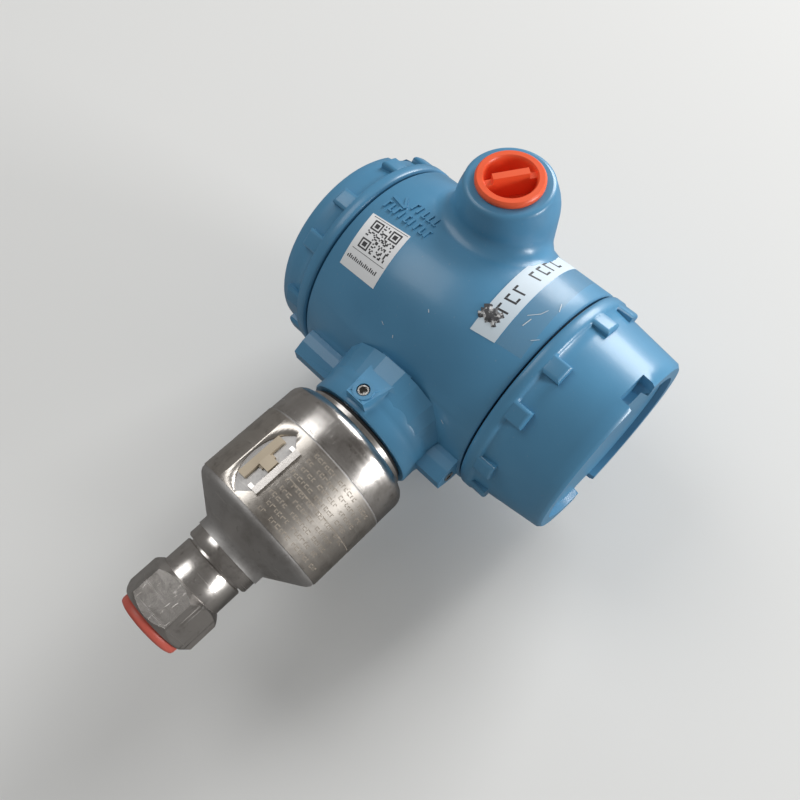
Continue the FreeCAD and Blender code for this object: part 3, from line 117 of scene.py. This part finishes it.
def make_lamp(name, place, size, power):
    data = bpy.data.lights.new(name, "AREA")
    data.shape = "SQUARE"
    data.size = size
    data.energy = power
    lamp = bpy.data.objects.new(name, data)
    lamp.location = place
    aim = Vector(LAMP_TARGET) - Vector(place)
    lamp.rotation_euler = aim.to_track_quat("-Z", "Y").to_euler()
    bpy.context.scene.collection.objects.link(lamp)


def make_world():
    """Even light on the object; the camera sees pale ground, and polished metal a darker room."""
    world = bpy.data.worlds.new("studio")
    world.use_nodes = True
    tree = world.node_tree
    tree.nodes.clear()
    out = tree.nodes.new("ShaderNodeOutputWorld")
    path = tree.nodes.new("ShaderNodeLightPath")

    def background(color, strength):
        shade = node(tree, "ShaderNodeBackground", {"Color": (*color, 1), "Strength": strength})
        return shade.outputs[0]

    result = background(PALE, WORLD_LIT)
    for ray, color in (("Is Glossy Ray", MIRRORED), ("Is Camera Ray", PALE)):
        result = mix_shaders(tree, path.outputs[ray], result, background(color, 1.0))
    tree.links.new(result, out.inputs[0])
    bpy.context.scene.world = world


# ---------------------------------------------------------------- materials
class Finish:
    """A Principled material and the few steps that its finish is built from."""

    def __init__(self, name, color, roughness, metallic=0.0, **sockets):
        self.mat = bpy.data.materials.new(name)
        self.mat.use_nodes = True
        self.tree = self.mat.node_tree
        self.bsdf = self.tree.nodes["Principled BSDF"]
        self.bsdf.inputs["Base Color"].default_value = (*color, 1)
        self.bsdf.inputs["Roughness"].default_value = roughness
        self.bsdf.inputs["Metallic"].default_value = metallic
        for key, value in sockets.items():
            self.bsdf.inputs[key.replace("_", " ").title()].default_value = value
        self.coords = node(self.tree, "ShaderNodeTexCoord").outputs["Object"]
        self.base = color
        self.color = None  # what colours the surface once a tint is on it
        self.normal = None  # the last bump

    def link(self, output, socket):
        self.tree.links.new(output, socket)

    def noise(self, scale, stretch=(1, 1, 1), detail=4.0, rough=0.55):
        """Noise with features about 1/scale metres across, squeezed by stretch along the axes."""
        mapping = node(self.tree, "ShaderNodeMapping", {"Scale": stretch})
        self.link(self.coords, mapping.inputs["Vector"])
        values = {"Scale": scale, "Detail": detail, "Roughness": rough}
        tex = node(self.tree, "ShaderNodeTexNoise", values)
        self.link(mapping.outputs[0], tex.inputs["Vector"])
        return tex.outputs["Fac"]

    def ramp(self, value, low, high):
        """0 below low, 1 above high."""
        made = node(self.tree, "ShaderNodeMapRange", {"From Min": low, "From Max": high})
        self.link(value, made.inputs["Value"])
        return made.outputs[0]

    def tint(self, mask, color, amount):
        """Lays a share of a colour over what is there, where the mask is 1."""
        values = {MIX_UNDER: (*self.base, 1), MIX_OVER: (*color, 1)}
        mix = node(self.tree, "ShaderNodeMix", values, data_type="RGBA")
        if self.color is not None:
            self.link(self.color, mix.inputs[MIX_UNDER])
        scaled = node(self.tree, "ShaderNodeMath", {1: amount}, operation="MULTIPLY")
        self.link(mask, scaled.inputs[0])
        self.link(scaled.outputs[0], mix.inputs[MIX_FACTOR])
        self.color = mix.outputs[MIX_RESULT]
        self.link(self.color, self.bsdf.inputs["Base Color"])

    def vary_roughness(self, mask, low, high):
        made = node(self.tree, "ShaderNodeMapRange", {"To Min": low, "To Max": high})
        self.link(mask, made.inputs["Value"])
        self.link(made.outputs[0], self.bsdf.inputs["Roughness"])

    def bump(self, value, distance, strength):
        values = {"Strength": strength, "Distance": distance}
        made = node(self.tree, "ShaderNodeBump", values)
        self.link(value, made.inputs["Height"])
        if self.normal is not None:
            self.link(self.normal, made.inputs["Normal"])
        self.normal = made.outputs[0]
        self.link(self.normal, self.bsdf.inputs["Normal"])


DUST = (0.30, 0.36, 0.40)
STAIN = (0.13, 0.105, 0.085)
SMEAR = (0.80, 0.78, 0.74)


def paint(name, color, deep):
    """Glossy powder coat: a slight orange peel, faint colour drift and a little dust."""
    f = Finish(name, color, roughness=0.36, coat_weight=0.22, coat_roughness=0.16)
    drift = f.ramp(f.noise(scale=28, detail=2), 0.35, 0.65)
    f.tint(drift, deep, 0.45)
    specks = f.ramp(f.noise(scale=900, detail=2), 0.70, 0.74)
    f.tint(specks, DUST, 0.18)
    f.vary_roughness(f.noise(scale=45, detail=3), 0.30, 0.42)
    f.bump(f.noise(scale=520, detail=2), distance=0.06 * MM, strength=0.35)
    return f.mat


def steel(name, color, low, high, rings=0, grain=0, dirt=0.55):
    """Bare steel, as rough as low to high: turned rings about Z or an even grain, with stains."""
    f = Finish(name, color, low, metallic=1.0)
    stains = f.ramp(f.noise(scale=75, detail=6, rough=0.65), 0.50, 0.72)
    f.tint(stains, STAIN, dirt)
    spots = f.ramp(f.noise(scale=420, detail=4, rough=0.7), 0.60, 0.70)
    f.tint(spots, STAIN, dirt * 0.7)
    smears = f.ramp(f.noise(scale=90, stretch=(1, 1, 14), detail=3), 0.62, 0.72)
    f.tint(smears, SMEAR, 0.35)
    if rings:
        marks = f.noise(scale=1.0, stretch=(30, 30, rings), detail=3)
        f.vary_roughness(marks, low, high)
        f.bump(marks, distance=0.03 * MM, strength=0.30)
        scratches = f.ramp(f.noise(scale=260, stretch=(1, 5, 1), detail=2), 0.66, 0.69)
        f.bump(scratches, distance=0.03 * MM, strength=0.4)
    if grain:
        pits = f.noise(scale=grain, detail=3)
        f.vary_roughness(pits, low, high)
        f.bump(pits, distance=0.10 * MM, strength=0.7)
    return f.mat


def plastic(name, color, deep, roughness, grain=700):
    """Moulded plastic, rubber, label or print: colour drift, uneven gloss and a fine grain."""
    f = Finish(name, color, roughness)
    drift = f.ramp(f.noise(scale=40, detail=3), 0.35, 0.7)
    f.tint(drift, deep, 0.5)
    f.vary_roughness(f.noise(scale=120, detail=3), roughness - 0.06, roughness + 0.08)
    f.bump(f.noise(scale=grain, detail=2), distance=0.03 * MM, strength=0.3)
    return f.mat


def crumpled(name, dark, light):
    """Torn tape: dark adhesive with pale folds."""
    f = Finish(name, dark, roughness=0.5)
    folds = f.ramp(f.noise(scale=520, detail=3), 0.52, 0.60)
    f.tint(folds, light, 0.9)
    f.bump(f.noise(scale=800, detail=3), distance=0.15 * MM, strength=0.8)
    return f.mat


def film(name, color):
    """Clear adhesive film, seen mostly by its edge and its sheen."""
    f = Finish(name, color, roughness=0.26, alpha=0.10)
    f.bump(f.noise(scale=160, detail=2), distance=0.05 * MM, strength=0.5)
    return f.mat


STEELS = {
    "stainless": dict(color=(0.66, 0.63, 0.60), low=0.16, high=0.32, rings=1500),
    "stainless_blasted": dict(color=(0.56, 0.55, 0.54), low=0.50, high=0.64, grain=1500, dirt=0.35),
    "stainless_foil": dict(color=(0.62, 0.58, 0.53), low=0.26, high=0.40, rings=700),
    "capsule_steel": dict(color=(0.55, 0.54, 0.52), low=0.20, high=0.34, rings=1200),
    "screw_steel": dict(color=(0.50, 0.49, 0.47), low=0.22, high=0.38, grain=1200),
    "zinc_steel": dict(color=(0.45, 0.46, 0.47), low=0.28, high=0.42, grain=900),
}

PLASTICS = {  # colour, the deeper colour of its drift, roughness, and grain if not the usual
    "seal_rubber": ((0.012, 0.012, 0.013), (0.022, 0.022, 0.022), 0.55, 1200),
    "orange_plastic": ((0.90, 0.13, 0.045), (0.80, 0.09, 0.03), 0.34),
    "red_plastic": ((0.60, 0.12, 0.085), (0.46, 0.075, 0.05), 0.42),
    "clip_plastic": ((0.50, 0.42, 0.31), (0.24, 0.19, 0.13), 0.45),
    "inner_plastic": ((0.03, 0.03, 0.032), (0.05, 0.05, 0.05), 0.48),
    "chip_plastic": ((0.018, 0.018, 0.02), (0.03, 0.03, 0.03), 0.5, 1500),
    "carrier_plastic": ((0.10, 0.10, 0.11), (0.07, 0.07, 0.075), 0.46),
    "block_plastic": ((0.09, 0.11, 0.15), (0.06, 0.075, 0.11), 0.4),
    "circuit_board": ((0.015, 0.14, 0.055), (0.012, 0.10, 0.045), 0.35, 500),
    "label_white": ((0.80, 0.81, 0.82), (0.70, 0.72, 0.74), 0.40, 300),
    "label_ink": ((0.018, 0.018, 0.02), (0.03, 0.03, 0.035), 0.5, 300),
    "tape": ((0.62, 0.70, 0.76), (0.52, 0.62, 0.70), 0.55, 400),
    "stamp": ((0.36, 0.31, 0.25), (0.15, 0.125, 0.10), 0.55, 900),
    "bare_nick": ((0.62, 0.68, 0.72), (0.50, 0.56, 0.60), 0.45, 900),
}

MATERIALS = {
    "blue_paint": paint("blue_paint", (0.080, 0.262, 0.440), (0.052, 0.185, 0.325)),
    **{name: steel(name, **look) for name, look in STEELS.items()},
    **{name: plastic(name, *look) for name, look in PLASTICS.items()},
    "torn": crumpled("torn", (0.055, 0.055, 0.06), (0.60, 0.60, 0.60)),
    "clear_film": film("clear_film", (0.30, 0.42, 0.50)),
}


# ---------------------------------------------------------------- CAD nodes take their finishes
WELD_REACH = 0.001 * MM


def dress_cad_nodes():
    slots = {s["node"]: s["material_slot"] for s in frame["record"]["subparts"]}
    for name, obj in frame["nodes"].items():
        obj.data.materials.clear()
        obj.data.materials.append(MATERIALS[slots[name]])
        weld = obj.modifiers.new("weld", "WELD")
        weld.merge_threshold = WELD_REACH


# ---------------------------------------------------------------- thin pieces on the drum and band
SHARP_ANGLE = math.radians(35)


def drum_point(y, degrees, lift=0.0):
    """Point on the housing's drum: degrees run from -X towards +Z."""
    a = math.radians(degrees)
    r = DRUM_RADIUS + lift
    return Vector((-r * math.cos(a), y, DRUM_AXIS_Z + r * math.sin(a)))


def sensor_point(z, degrees, lift=0.0):
    """Point on the nameplate band: degrees run from -X towards +Y."""
    a = math.radians(degrees)
    r = BAND_RADIUS + lift
    return Vector((-r * math.cos(a), r * math.sin(a), z))


def places(*pairs):
    """Places on the drum, each written as (millimetres along its axis, degrees)."""
    return [(along * MM, degrees) for along, degrees in pairs]


def between(corners, u, v):
    """Place at the share u across and v along a sheet, whose corners are in order round it."""
    a, b, c, d = corners
    return [(a[n] * (1 - u) + b[n] * u) * (1 - v) + (d[n] * (1 - u) + c[n] * u) * v for n in (0, 1)]


def patch(corners, u0, u1, v0, v1):
    """Cell of a sheet, between two shares of the way across it and two along it."""
    return [between(corners, u, v) for u, v in ((u0, v0), (u1, v0), (u1, v1), (u0, v1))]


def stroke(start, end, width):
    """Cell for a straight stroke on the drum, between two places, each (y, degrees)."""
    dy = end[0] - start[0]
    dx = math.radians(end[1] - start[1]) * DRUM_RADIUS
    length = math.hypot(dy, dx)
    ny = -dx / length * width / 2
    na = math.degrees(dy / length * width / 2 / DRUM_RADIUS)
    return [(start[0] - ny, start[1] - na), (start[0] + ny, start[1] + na),
            (end[0] + ny, end[1] + na), (end[0] - ny, end[1] - na)]


def mesh_object(name, verts, faces, slot, body, smooth=True):
    mesh = bpy.data.meshes.new(name)
    mesh.from_pydata([tuple(v) for v in verts], [], faces)
    bm = bmesh.new()
    bm.from_mesh(mesh)
    bmesh.ops.recalc_face_normals(bm, faces=bm.faces)
    bm.to_mesh(mesh)
    bm.free()
    mesh.materials.append(MATERIALS[slot])
    obj = bpy.data.objects.new(name, mesh)
    bpy.context.scene.collection.objects.link(obj)
    if smooth:
        mesh.shade_smooth()
        mesh.set_sharp_from_angle(angle=SHARP_ANGLE)
    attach(obj, body)


def closed_sheet(name, layers, rows, columns, slot):
    """Thin closed sheet on the housing; each of two layers gives a point for a row and a column."""
    verts = [layer(i, j) for layer in layers for i in range(rows + 1) for j in range(columns + 1)]
    row = columns + 1
    size = (rows + 1) * row
    faces = []
    for first in (0, size):
        for i in range(rows):
            for j in range(columns):
                k = first + i * row + j
                faces.append((k, k + 1, k + row + 1, k + row))
    rim = [i * row for i in range(rows + 1)]
    rim += [rows * row + j for j in range(1, row)]
    rim += [i * row + columns for i in range(rows - 1, -1, -1)]
    rim += list(range(columns - 1, 0, -1))
    for a, b in zip(rim, rim[1:] + rim[:1]):
        faces.append((a, b, b + size, a + size))
    mesh_object(name, verts, faces, slot, "housing_body")


def wrapped_sheet(name, corners, lift, thickness, slot, steps, across):
    """Closed sheet bent round the drum between four corners."""
    def layer(height):
        return lambda i, j: drum_point(*between(corners, j / across, i / steps), height)
    closed_sheet(name, (layer(lift), layer(lift + thickness)), steps, across, slot)


def plates(name, cells, lift, height, slot, point=drum_point, body="housing_body"):
    """Many small closed plates in one mesh; each cell is four places, each (along, degrees)."""
    verts, faces = [], []
    for cell in cells:
        k = len(verts)
        for layer in (lift, lift + height):
            verts += [point(along, degrees, layer) for along, degrees in cell]
        faces += [(k, k + 3, k + 2, k + 1), (k + 4, k + 5, k + 6, k + 7)]
        faces += [(k + i, k + (i + 1) % 4, k + 4 + (i + 1) % 4, k + 4 + i) for i in range(4)]
    mesh_object(name, verts, faces, slot, body, smooth=False)


# ---------------------------------------------------------------- code label
LABEL = places((39.7, -37.3), (23.1, -36.9), (24.8, -7.4), (41.6, -9.6))
LABEL_LIFT = 0.02 * MM
LABEL_THICKNESS = 0.12 * MM
INK = 0.03 * MM
INK_LIFT = LABEL_LIFT + LABEL_THICKNESS

# The print's places are shares of the label, across it (u) and along it (v).
MATRIX_U, MATRIX_V = (0.16, 0.88), (0.40, 0.93)
MATRIX_CELLS = 21
EYE = 7  # cells across each nested square in three of the matrix's corners
FRAME_U, FRAME_V = (0.08, 0.95), (0.34, 0.965)
FRAME_SIDE_END = 0.97
FRAME_LINE_U = 0.012
FRAME_LINE_V = FRAME_LINE_U * 0.7
ROW_STROKES = 17
ROW_START, ROW_PITCH, ROW_STROKE = 0.07, 0.049, 0.026
ROW_FOOT, ROW_HEIGHT, ROW_STEP = 0.17, 0.045, 0.012


def matrix_cell(i, j, wide=1, high=1):
    (u, u_end), (v, v_end) = MATRIX_U, MATRIX_V
    du, dv = (u_end - u) / MATRIX_CELLS, (v_end - v) / MATRIX_CELLS
    return patch(LABEL, u + du * i, u + du * (i + wide), v + dv * j, v + dv * (j + high))


def matrix_eye(i, j):
    """Square inside a square ring, from column i and row j."""
    side, far = EYE - 2, EYE - 1
    return [matrix_cell(i, j, EYE, 1), matrix_cell(i, j + far, EYE, 1),
            matrix_cell(i, j + 1, 1, side), matrix_cell(i + far, j + 1, 1, side),
            matrix_cell(i + 2, j + 2, EYE - 4, EYE - 4)]


def matrix():
    """Plain matrix: three eyes, and squares scattered by a formula, which hold no code."""
    near, far = EYE + 1, MATRIX_CELLS - EYE - 1
    cells = []
    for i, j in ((0, 0), (0, MATRIX_CELLS - EYE), (MATRIX_CELLS - EYE, MATRIX_CELLS - EYE)):
        cells += matrix_eye(i, j)
    for i in range(MATRIX_CELLS):
        for j in range(MATRIX_CELLS):
            by_an_eye = (i < near and (j < near or j >= far)) or (i >= far and j >= far)
            if not by_an_eye and (3 * i * i + 5 * i * j + (i ^ j)) % 7 in (0, 2, 5):
                cells.append(matrix_cell(i, j))
    return cells


def code_label():
    """White label: a plain matrix in a thin frame, with a row of short strokes below it."""
    wrapped_sheet("code_label", LABEL, LABEL_LIFT, LABEL_THICKNESS, "label_white", steps=16, across=2)
    ink = matrix()
    ink += [patch(LABEL, *FRAME_U, v, v + FRAME_LINE_V) for v in FRAME_V]
    ink += [patch(LABEL, u, u + FRAME_LINE_U, FRAME_V[0], FRAME_SIDE_END) for u in FRAME_U]
    for k in range(ROW_STROKES):
        u = ROW_START + ROW_PITCH * k
        top = ROW_FOOT + ROW_HEIGHT + ROW_STEP * (k * 5 % 3)
        ink.append(patch(LABEL, u, u + ROW_STROKE, ROW_FOOT, top))
    plates("code_label_print", ink, INK_LIFT, INK, "label_ink")


# ---------------------------------------------------------------- tape, its torn spot and the film
TAPE = places((-9.7, 47.5), (-19.0, 51.6), (-22.9, -21.4), (-13.5, -23.2))
TAPE_MARKS = 8
TAPE_TORN = 3  # the mark that the tear has taken away
MARK_START, MARK_PITCH = 0.80, 0.083  # shares along the tape
MARK_U = (0.26, 0.74)  # shares across it
MARK_LINE = 0.014
LEG_WIDTH = 0.08
LEG_FROM, LEG_TO = 0.036, 0.002  # shares below its line

SCRAP_Y, SCRAP_DEGREES = -15.6 * MM, -12.9  # its middle
SCRAP_LENGTH, SCRAP_ANGLE = 7.4 * MM, 7.0
SCRAP_LENGTH_RAGGED, SCRAP_ANGLE_RAGGED = 1.2 * MM, 1.6  # how far its edges wander
SCRAP_ROWS, SCRAP_COLUMNS = 9, 8
SCRAP_BASE = 0.05 * MM  # lift of its underside
SCRAP_EDGE = 0.16 * MM  # lift of its top at the edge
SCRAP_RISE, SCRAP_FOLD = 0.25 * MM, 0.55 * MM  # what the top rises within, and its folds on that

FILM = places((-19.3, 47.5), (-28.0, 47.5), (-32.9, -19.6), (-23.2, -21.0))
FILM_THICKNESS = 0.05 * MM


def tape_strip():
    """Strip of tape round the drum with a row of plain dark strokes, torn near its lower end."""
    wrapped_sheet("tape_strip", TAPE, LABEL_LIFT, LABEL_THICKNESS, "tape", steps=40, across=4)
    left, right = MARK_U
    strokes = []
    for k in range(TAPE_MARKS):
        if k == TAPE_TORN:
            continue
        v = MARK_START - MARK_PITCH * k
        strokes.append(patch(TAPE, left, right, v, v + MARK_LINE))
        strokes.append(patch(TAPE, left, left + LEG_WIDTH, v - LEG_FROM, v - LEG_TO))
        if k % 2:
            strokes.append(patch(TAPE, right - LEG_WIDTH, right, v - LEG_FROM, v - LEG_TO))
    plates("tape_print", strokes, INK_LIFT, INK, "label_ink")


def scrap_point(i, j, lift):
    """Point of the torn scrap, whose edges wander."""
    length = SCRAP_LENGTH + SCRAP_LENGTH_RAGGED * math.sin(j * 2.1)
    angle = SCRAP_ANGLE + SCRAP_ANGLE_RAGGED * math.sin(i * 1.9)
    return drum_point(SCRAP_Y + (i / SCRAP_ROWS - 0.5) * length,
                      SCRAP_DEGREES + (j / SCRAP_COLUMNS - 0.5) * angle, lift)


def crumple(i, j):
    """Lift of the scrap's top: low at its edges, folded within."""
    edge = min(i, SCRAP_ROWS - i, j, SCRAP_COLUMNS - j)
    fold = abs(math.sin(i * 2.3 + j * 1.7) * 0.5 + math.sin(i * 1.1 - j * 3.1) * 0.5)
    return SCRAP_EDGE + (SCRAP_RISE + SCRAP_FOLD * fold) * min(1.0, edge / 2)


def torn_spot():
    """Lifted, crumpled scrap where the tape is torn."""
    top_and_base = (lambda i, j: scrap_point(i, j, crumple(i, j)),
                    lambda i, j: scrap_point(i, j, SCRAP_BASE))
    closed_sheet("torn_spot", top_and_base, SCRAP_ROWS, SCRAP_COLUMNS, "torn")


def film_label():
    wrapped_sheet("film_label", FILM, LABEL_LIFT, FILM_THICKNESS, "clear_film", steps=40, across=4)


# ---------------------------------------------------------------- cast marks
ARROW_TIP, *ARROW_ENDS = places((34.6, 1.9), (41.4, 3.6), (37.6, 7.4))
ARROW_WIDTH = 0.9 * MM
BAR_WIDTH = 0.75 * MM
BAR_LEAN = 0.2 * MM
ARM_WIDTH = 0.6 * MM
ARM_LENGTH = 1.3 * MM
CAST_ROOT = 0.1 * MM
CAST_HEIGHT = 0.65 * MM
CAST_ROWS = (
    # first bar and pitch in millimetres, a bar's ends in degrees, and the arms of each bar
    (40.9, 2.42, -3.9, 0.6,
     ((0.4,), (-3.6,), (0.4,), (), (0.4, -3.6), (), (0.4,), (-3.6,), (0.4,))),
    (32.9, 2.5, 3.6, 8.6,
     ((8.3,), (), (3.9,), (3.9,), (3.9,))),
)


def raised_marks():
    """Raised arrow and two rows of plain raised bars in the place of cast lettering."""
    cast = [stroke(ARROW_TIP, end, ARROW_WIDTH) for end in ARROW_ENDS]
    for first, pitch, low, high, arms in CAST_ROWS:
        for k, at in enumerate(arms):
            y = (first - pitch * k) * MM
            cast.append(stroke((y, low), (y - BAR_LEAN, high), BAR_WIDTH))
            cast += [stroke((y, arm), (y - ARM_LENGTH, arm), ARM_WIDTH) for arm in at]
    plates("cast_marks", cast, -CAST_ROOT, CAST_HEIGHT, "blue_paint")


# ---------------------------------------------------------------- print on the band
STAMP_ROWS = 9
STAMP_TOP, STAMP_BOTTOM = BAND_FOOT + 25.6 * MM, BAND_FOOT + 2.0 * MM
STAMP_START, STAMP_START_STEP = -9.0, 1.5  # degrees along the band
STAMP_END, STAMP_END_STEP = -74.0, 3.0
STAMP_WIDTH, STAMP_WIDTH_STEP, STAMP_GAP = 2.0, 0.7, 0.6  # a mark, in degrees
STAMP_HEIGHT, STAMP_HEIGHT_STEP = 1.25 * MM, 0.2 * MM
STEM, STEM_GAP = 0.5, 0.9  # degrees: its upright stroke, and where the others start
CAP_SHARE, FOOT_SHARE = 0.25, 0.22  # of its height
STAMP_LIFT, STAMP_THICKNESS = 0.01 * MM, 0.03 * MM
RULE_Z = BAND_FOOT + 15.2 * MM
RULE_WIDTH = 0.22 * MM
RULE_START, RULE_STEP, RULE_STEPS = -11.0, 4.0, 20


def band_tile(z, height, start, end):
    """Cell on the band, between two angles."""
    return [(z, start), (z + height, start), (z + height, end), (z, end)]


def stamped_rows():
    """Rows of short plain strokes in the place of the band's print, and its ruled line."""
    tiles = []
    for row in range(STAMP_ROWS):
        z = STAMP_TOP + (STAMP_BOTTOM - STAMP_TOP) * row / (STAMP_ROWS - 1)
        angle = STAMP_START - STAMP_START_STEP * (row % 3)
        last = STAMP_END + STAMP_END_STEP * (row * 5 % 4)
        k = 0
        while angle > last:
            wide = STAMP_WIDTH + STAMP_WIDTH_STEP * (k % 3)
            high = STAMP_HEIGHT + STAMP_HEIGHT_STEP * ((k + row) % 2)
            is_space = (k * 5 + row * 11) % 7 == 0
            if not is_space:
                start, end = angle - STEM_GAP, angle - wide + STEM
                tiles.append(band_tile(z, high, angle, angle - STEM))
                cap = high * CAP_SHARE
                tiles.append(band_tile(z + high - cap, cap, start, end))
                if (k + row) % 3:
                    tiles.append(band_tile(z, high * FOOT_SHARE, start, end))
            angle -= wide + STAMP_GAP
            k += 1
    for k in range(RULE_STEPS):
        angle = RULE_START - RULE_STEP * k
        tiles.append(band_tile(RULE_Z, RULE_WIDTH, angle, angle - RULE_STEP))
    plates("stamped_rows", tiles, STAMP_LIFT, STAMP_THICKNESS, "stamp", sensor_point, "sensor_body")


# ---------------------------------------------------------------- wear
NICKS = (  # the two ends of each
    places((13.9, -45.9), (12.6, -46.9)),
    places((7.6, -47.7), (7.2, -48.9)),
    places((-24.6, -3.0), (-27.4, 1.5)),
    places((-27.4, 1.5), (-28.2, 5.2)),
    places((-25.9, -8.0), (-26.4, -3.2)),
    places((-31.0, 8.0), (-29.4, 12.5)),
    places((-22.6, -66.0), (-24.0, -67.2)),
    places((2.0, -28.0), (1.2, -29.0)),
    places((-2.8, -61.0), (-3.6, -61.6)),
    places((-31.2, -11.0), (-33.2, -8.2)),
)
NICK_WIDTHS = (0.16 * MM, 0.28 * MM, 0.20 * MM)
NICK_LIFT, NICK_THICKNESS = 0.08 * MM, 0.04 * MM


def nicks():
    """Small nicks and scratches in the drum's paint."""
    cells = [stroke(start, end, NICK_WIDTHS[k % len(NICK_WIDTHS)])
             for k, (start, end) in enumerate(NICKS)]
    plates("paint_nicks", cells, NICK_LIFT, NICK_THICKNESS, "bare_nick")


# ---------------------------------------------------------------- stage
def backdrop():
    """Pale ground behind the part, seen from its front only; polished metal mirrors it darker."""
    corners = ((-1, -1), (1, -1), (1, 1), (-1, 1))
    verts = [(BACKDROP_X, y * BACKDROP_HALF, z * BACKDROP_HALF) for y, z in corners]
    mesh = bpy.data.meshes.new("floor")
    mesh.from_pydata(verts, [], [(0, 3, 2, 1)])
    mat = bpy.data.materials.new("floor")
    mat.use_nodes = True
    tree = mat.node_tree
    bsdf = tree.nodes["Principled BSDF"]
    bsdf.inputs["Roughness"].default_value = BACKDROP_ROUGHNESS
    path = node(tree, "ShaderNodeLightPath")
    values = {MIX_UNDER: (*PALE, 1), MIX_OVER: (*MIRRORED, 1)}
    shade = node(tree, "ShaderNodeMix", values, data_type="RGBA")
    tree.links.new(path.outputs["Is Glossy Ray"], shade.inputs[MIX_FACTOR])
    tree.links.new(shade.outputs[MIX_RESULT], bsdf.inputs["Base Color"])
    clear = node(tree, "ShaderNodeBsdfTransparent")
    facing = node(tree, "ShaderNodeNewGeometry")
    mixed = mix_shaders(tree, facing.outputs["Backfacing"], bsdf.outputs[0], clear.outputs[0])
    tree.links.new(mixed, tree.nodes["Material Output"].inputs[0])
    mesh.materials.append(mat)
    floor = bpy.data.objects.new("floor", mesh)
    bpy.context.scene.collection.objects.link(floor)


bpy.context.scene.view_settings.view_transform = "Standard"
make_camera()
make_world()
for lamp_name, (lamp_place, lamp_size, lamp_power) in LAMPS.items():
    make_lamp(lamp_name, lamp_place, lamp_size, lamp_power)
backdrop()
dress_cad_nodes()
code_label()
tape_strip()
torn_spot()
film_label()
raised_marks()
stamped_rows()
nicks()
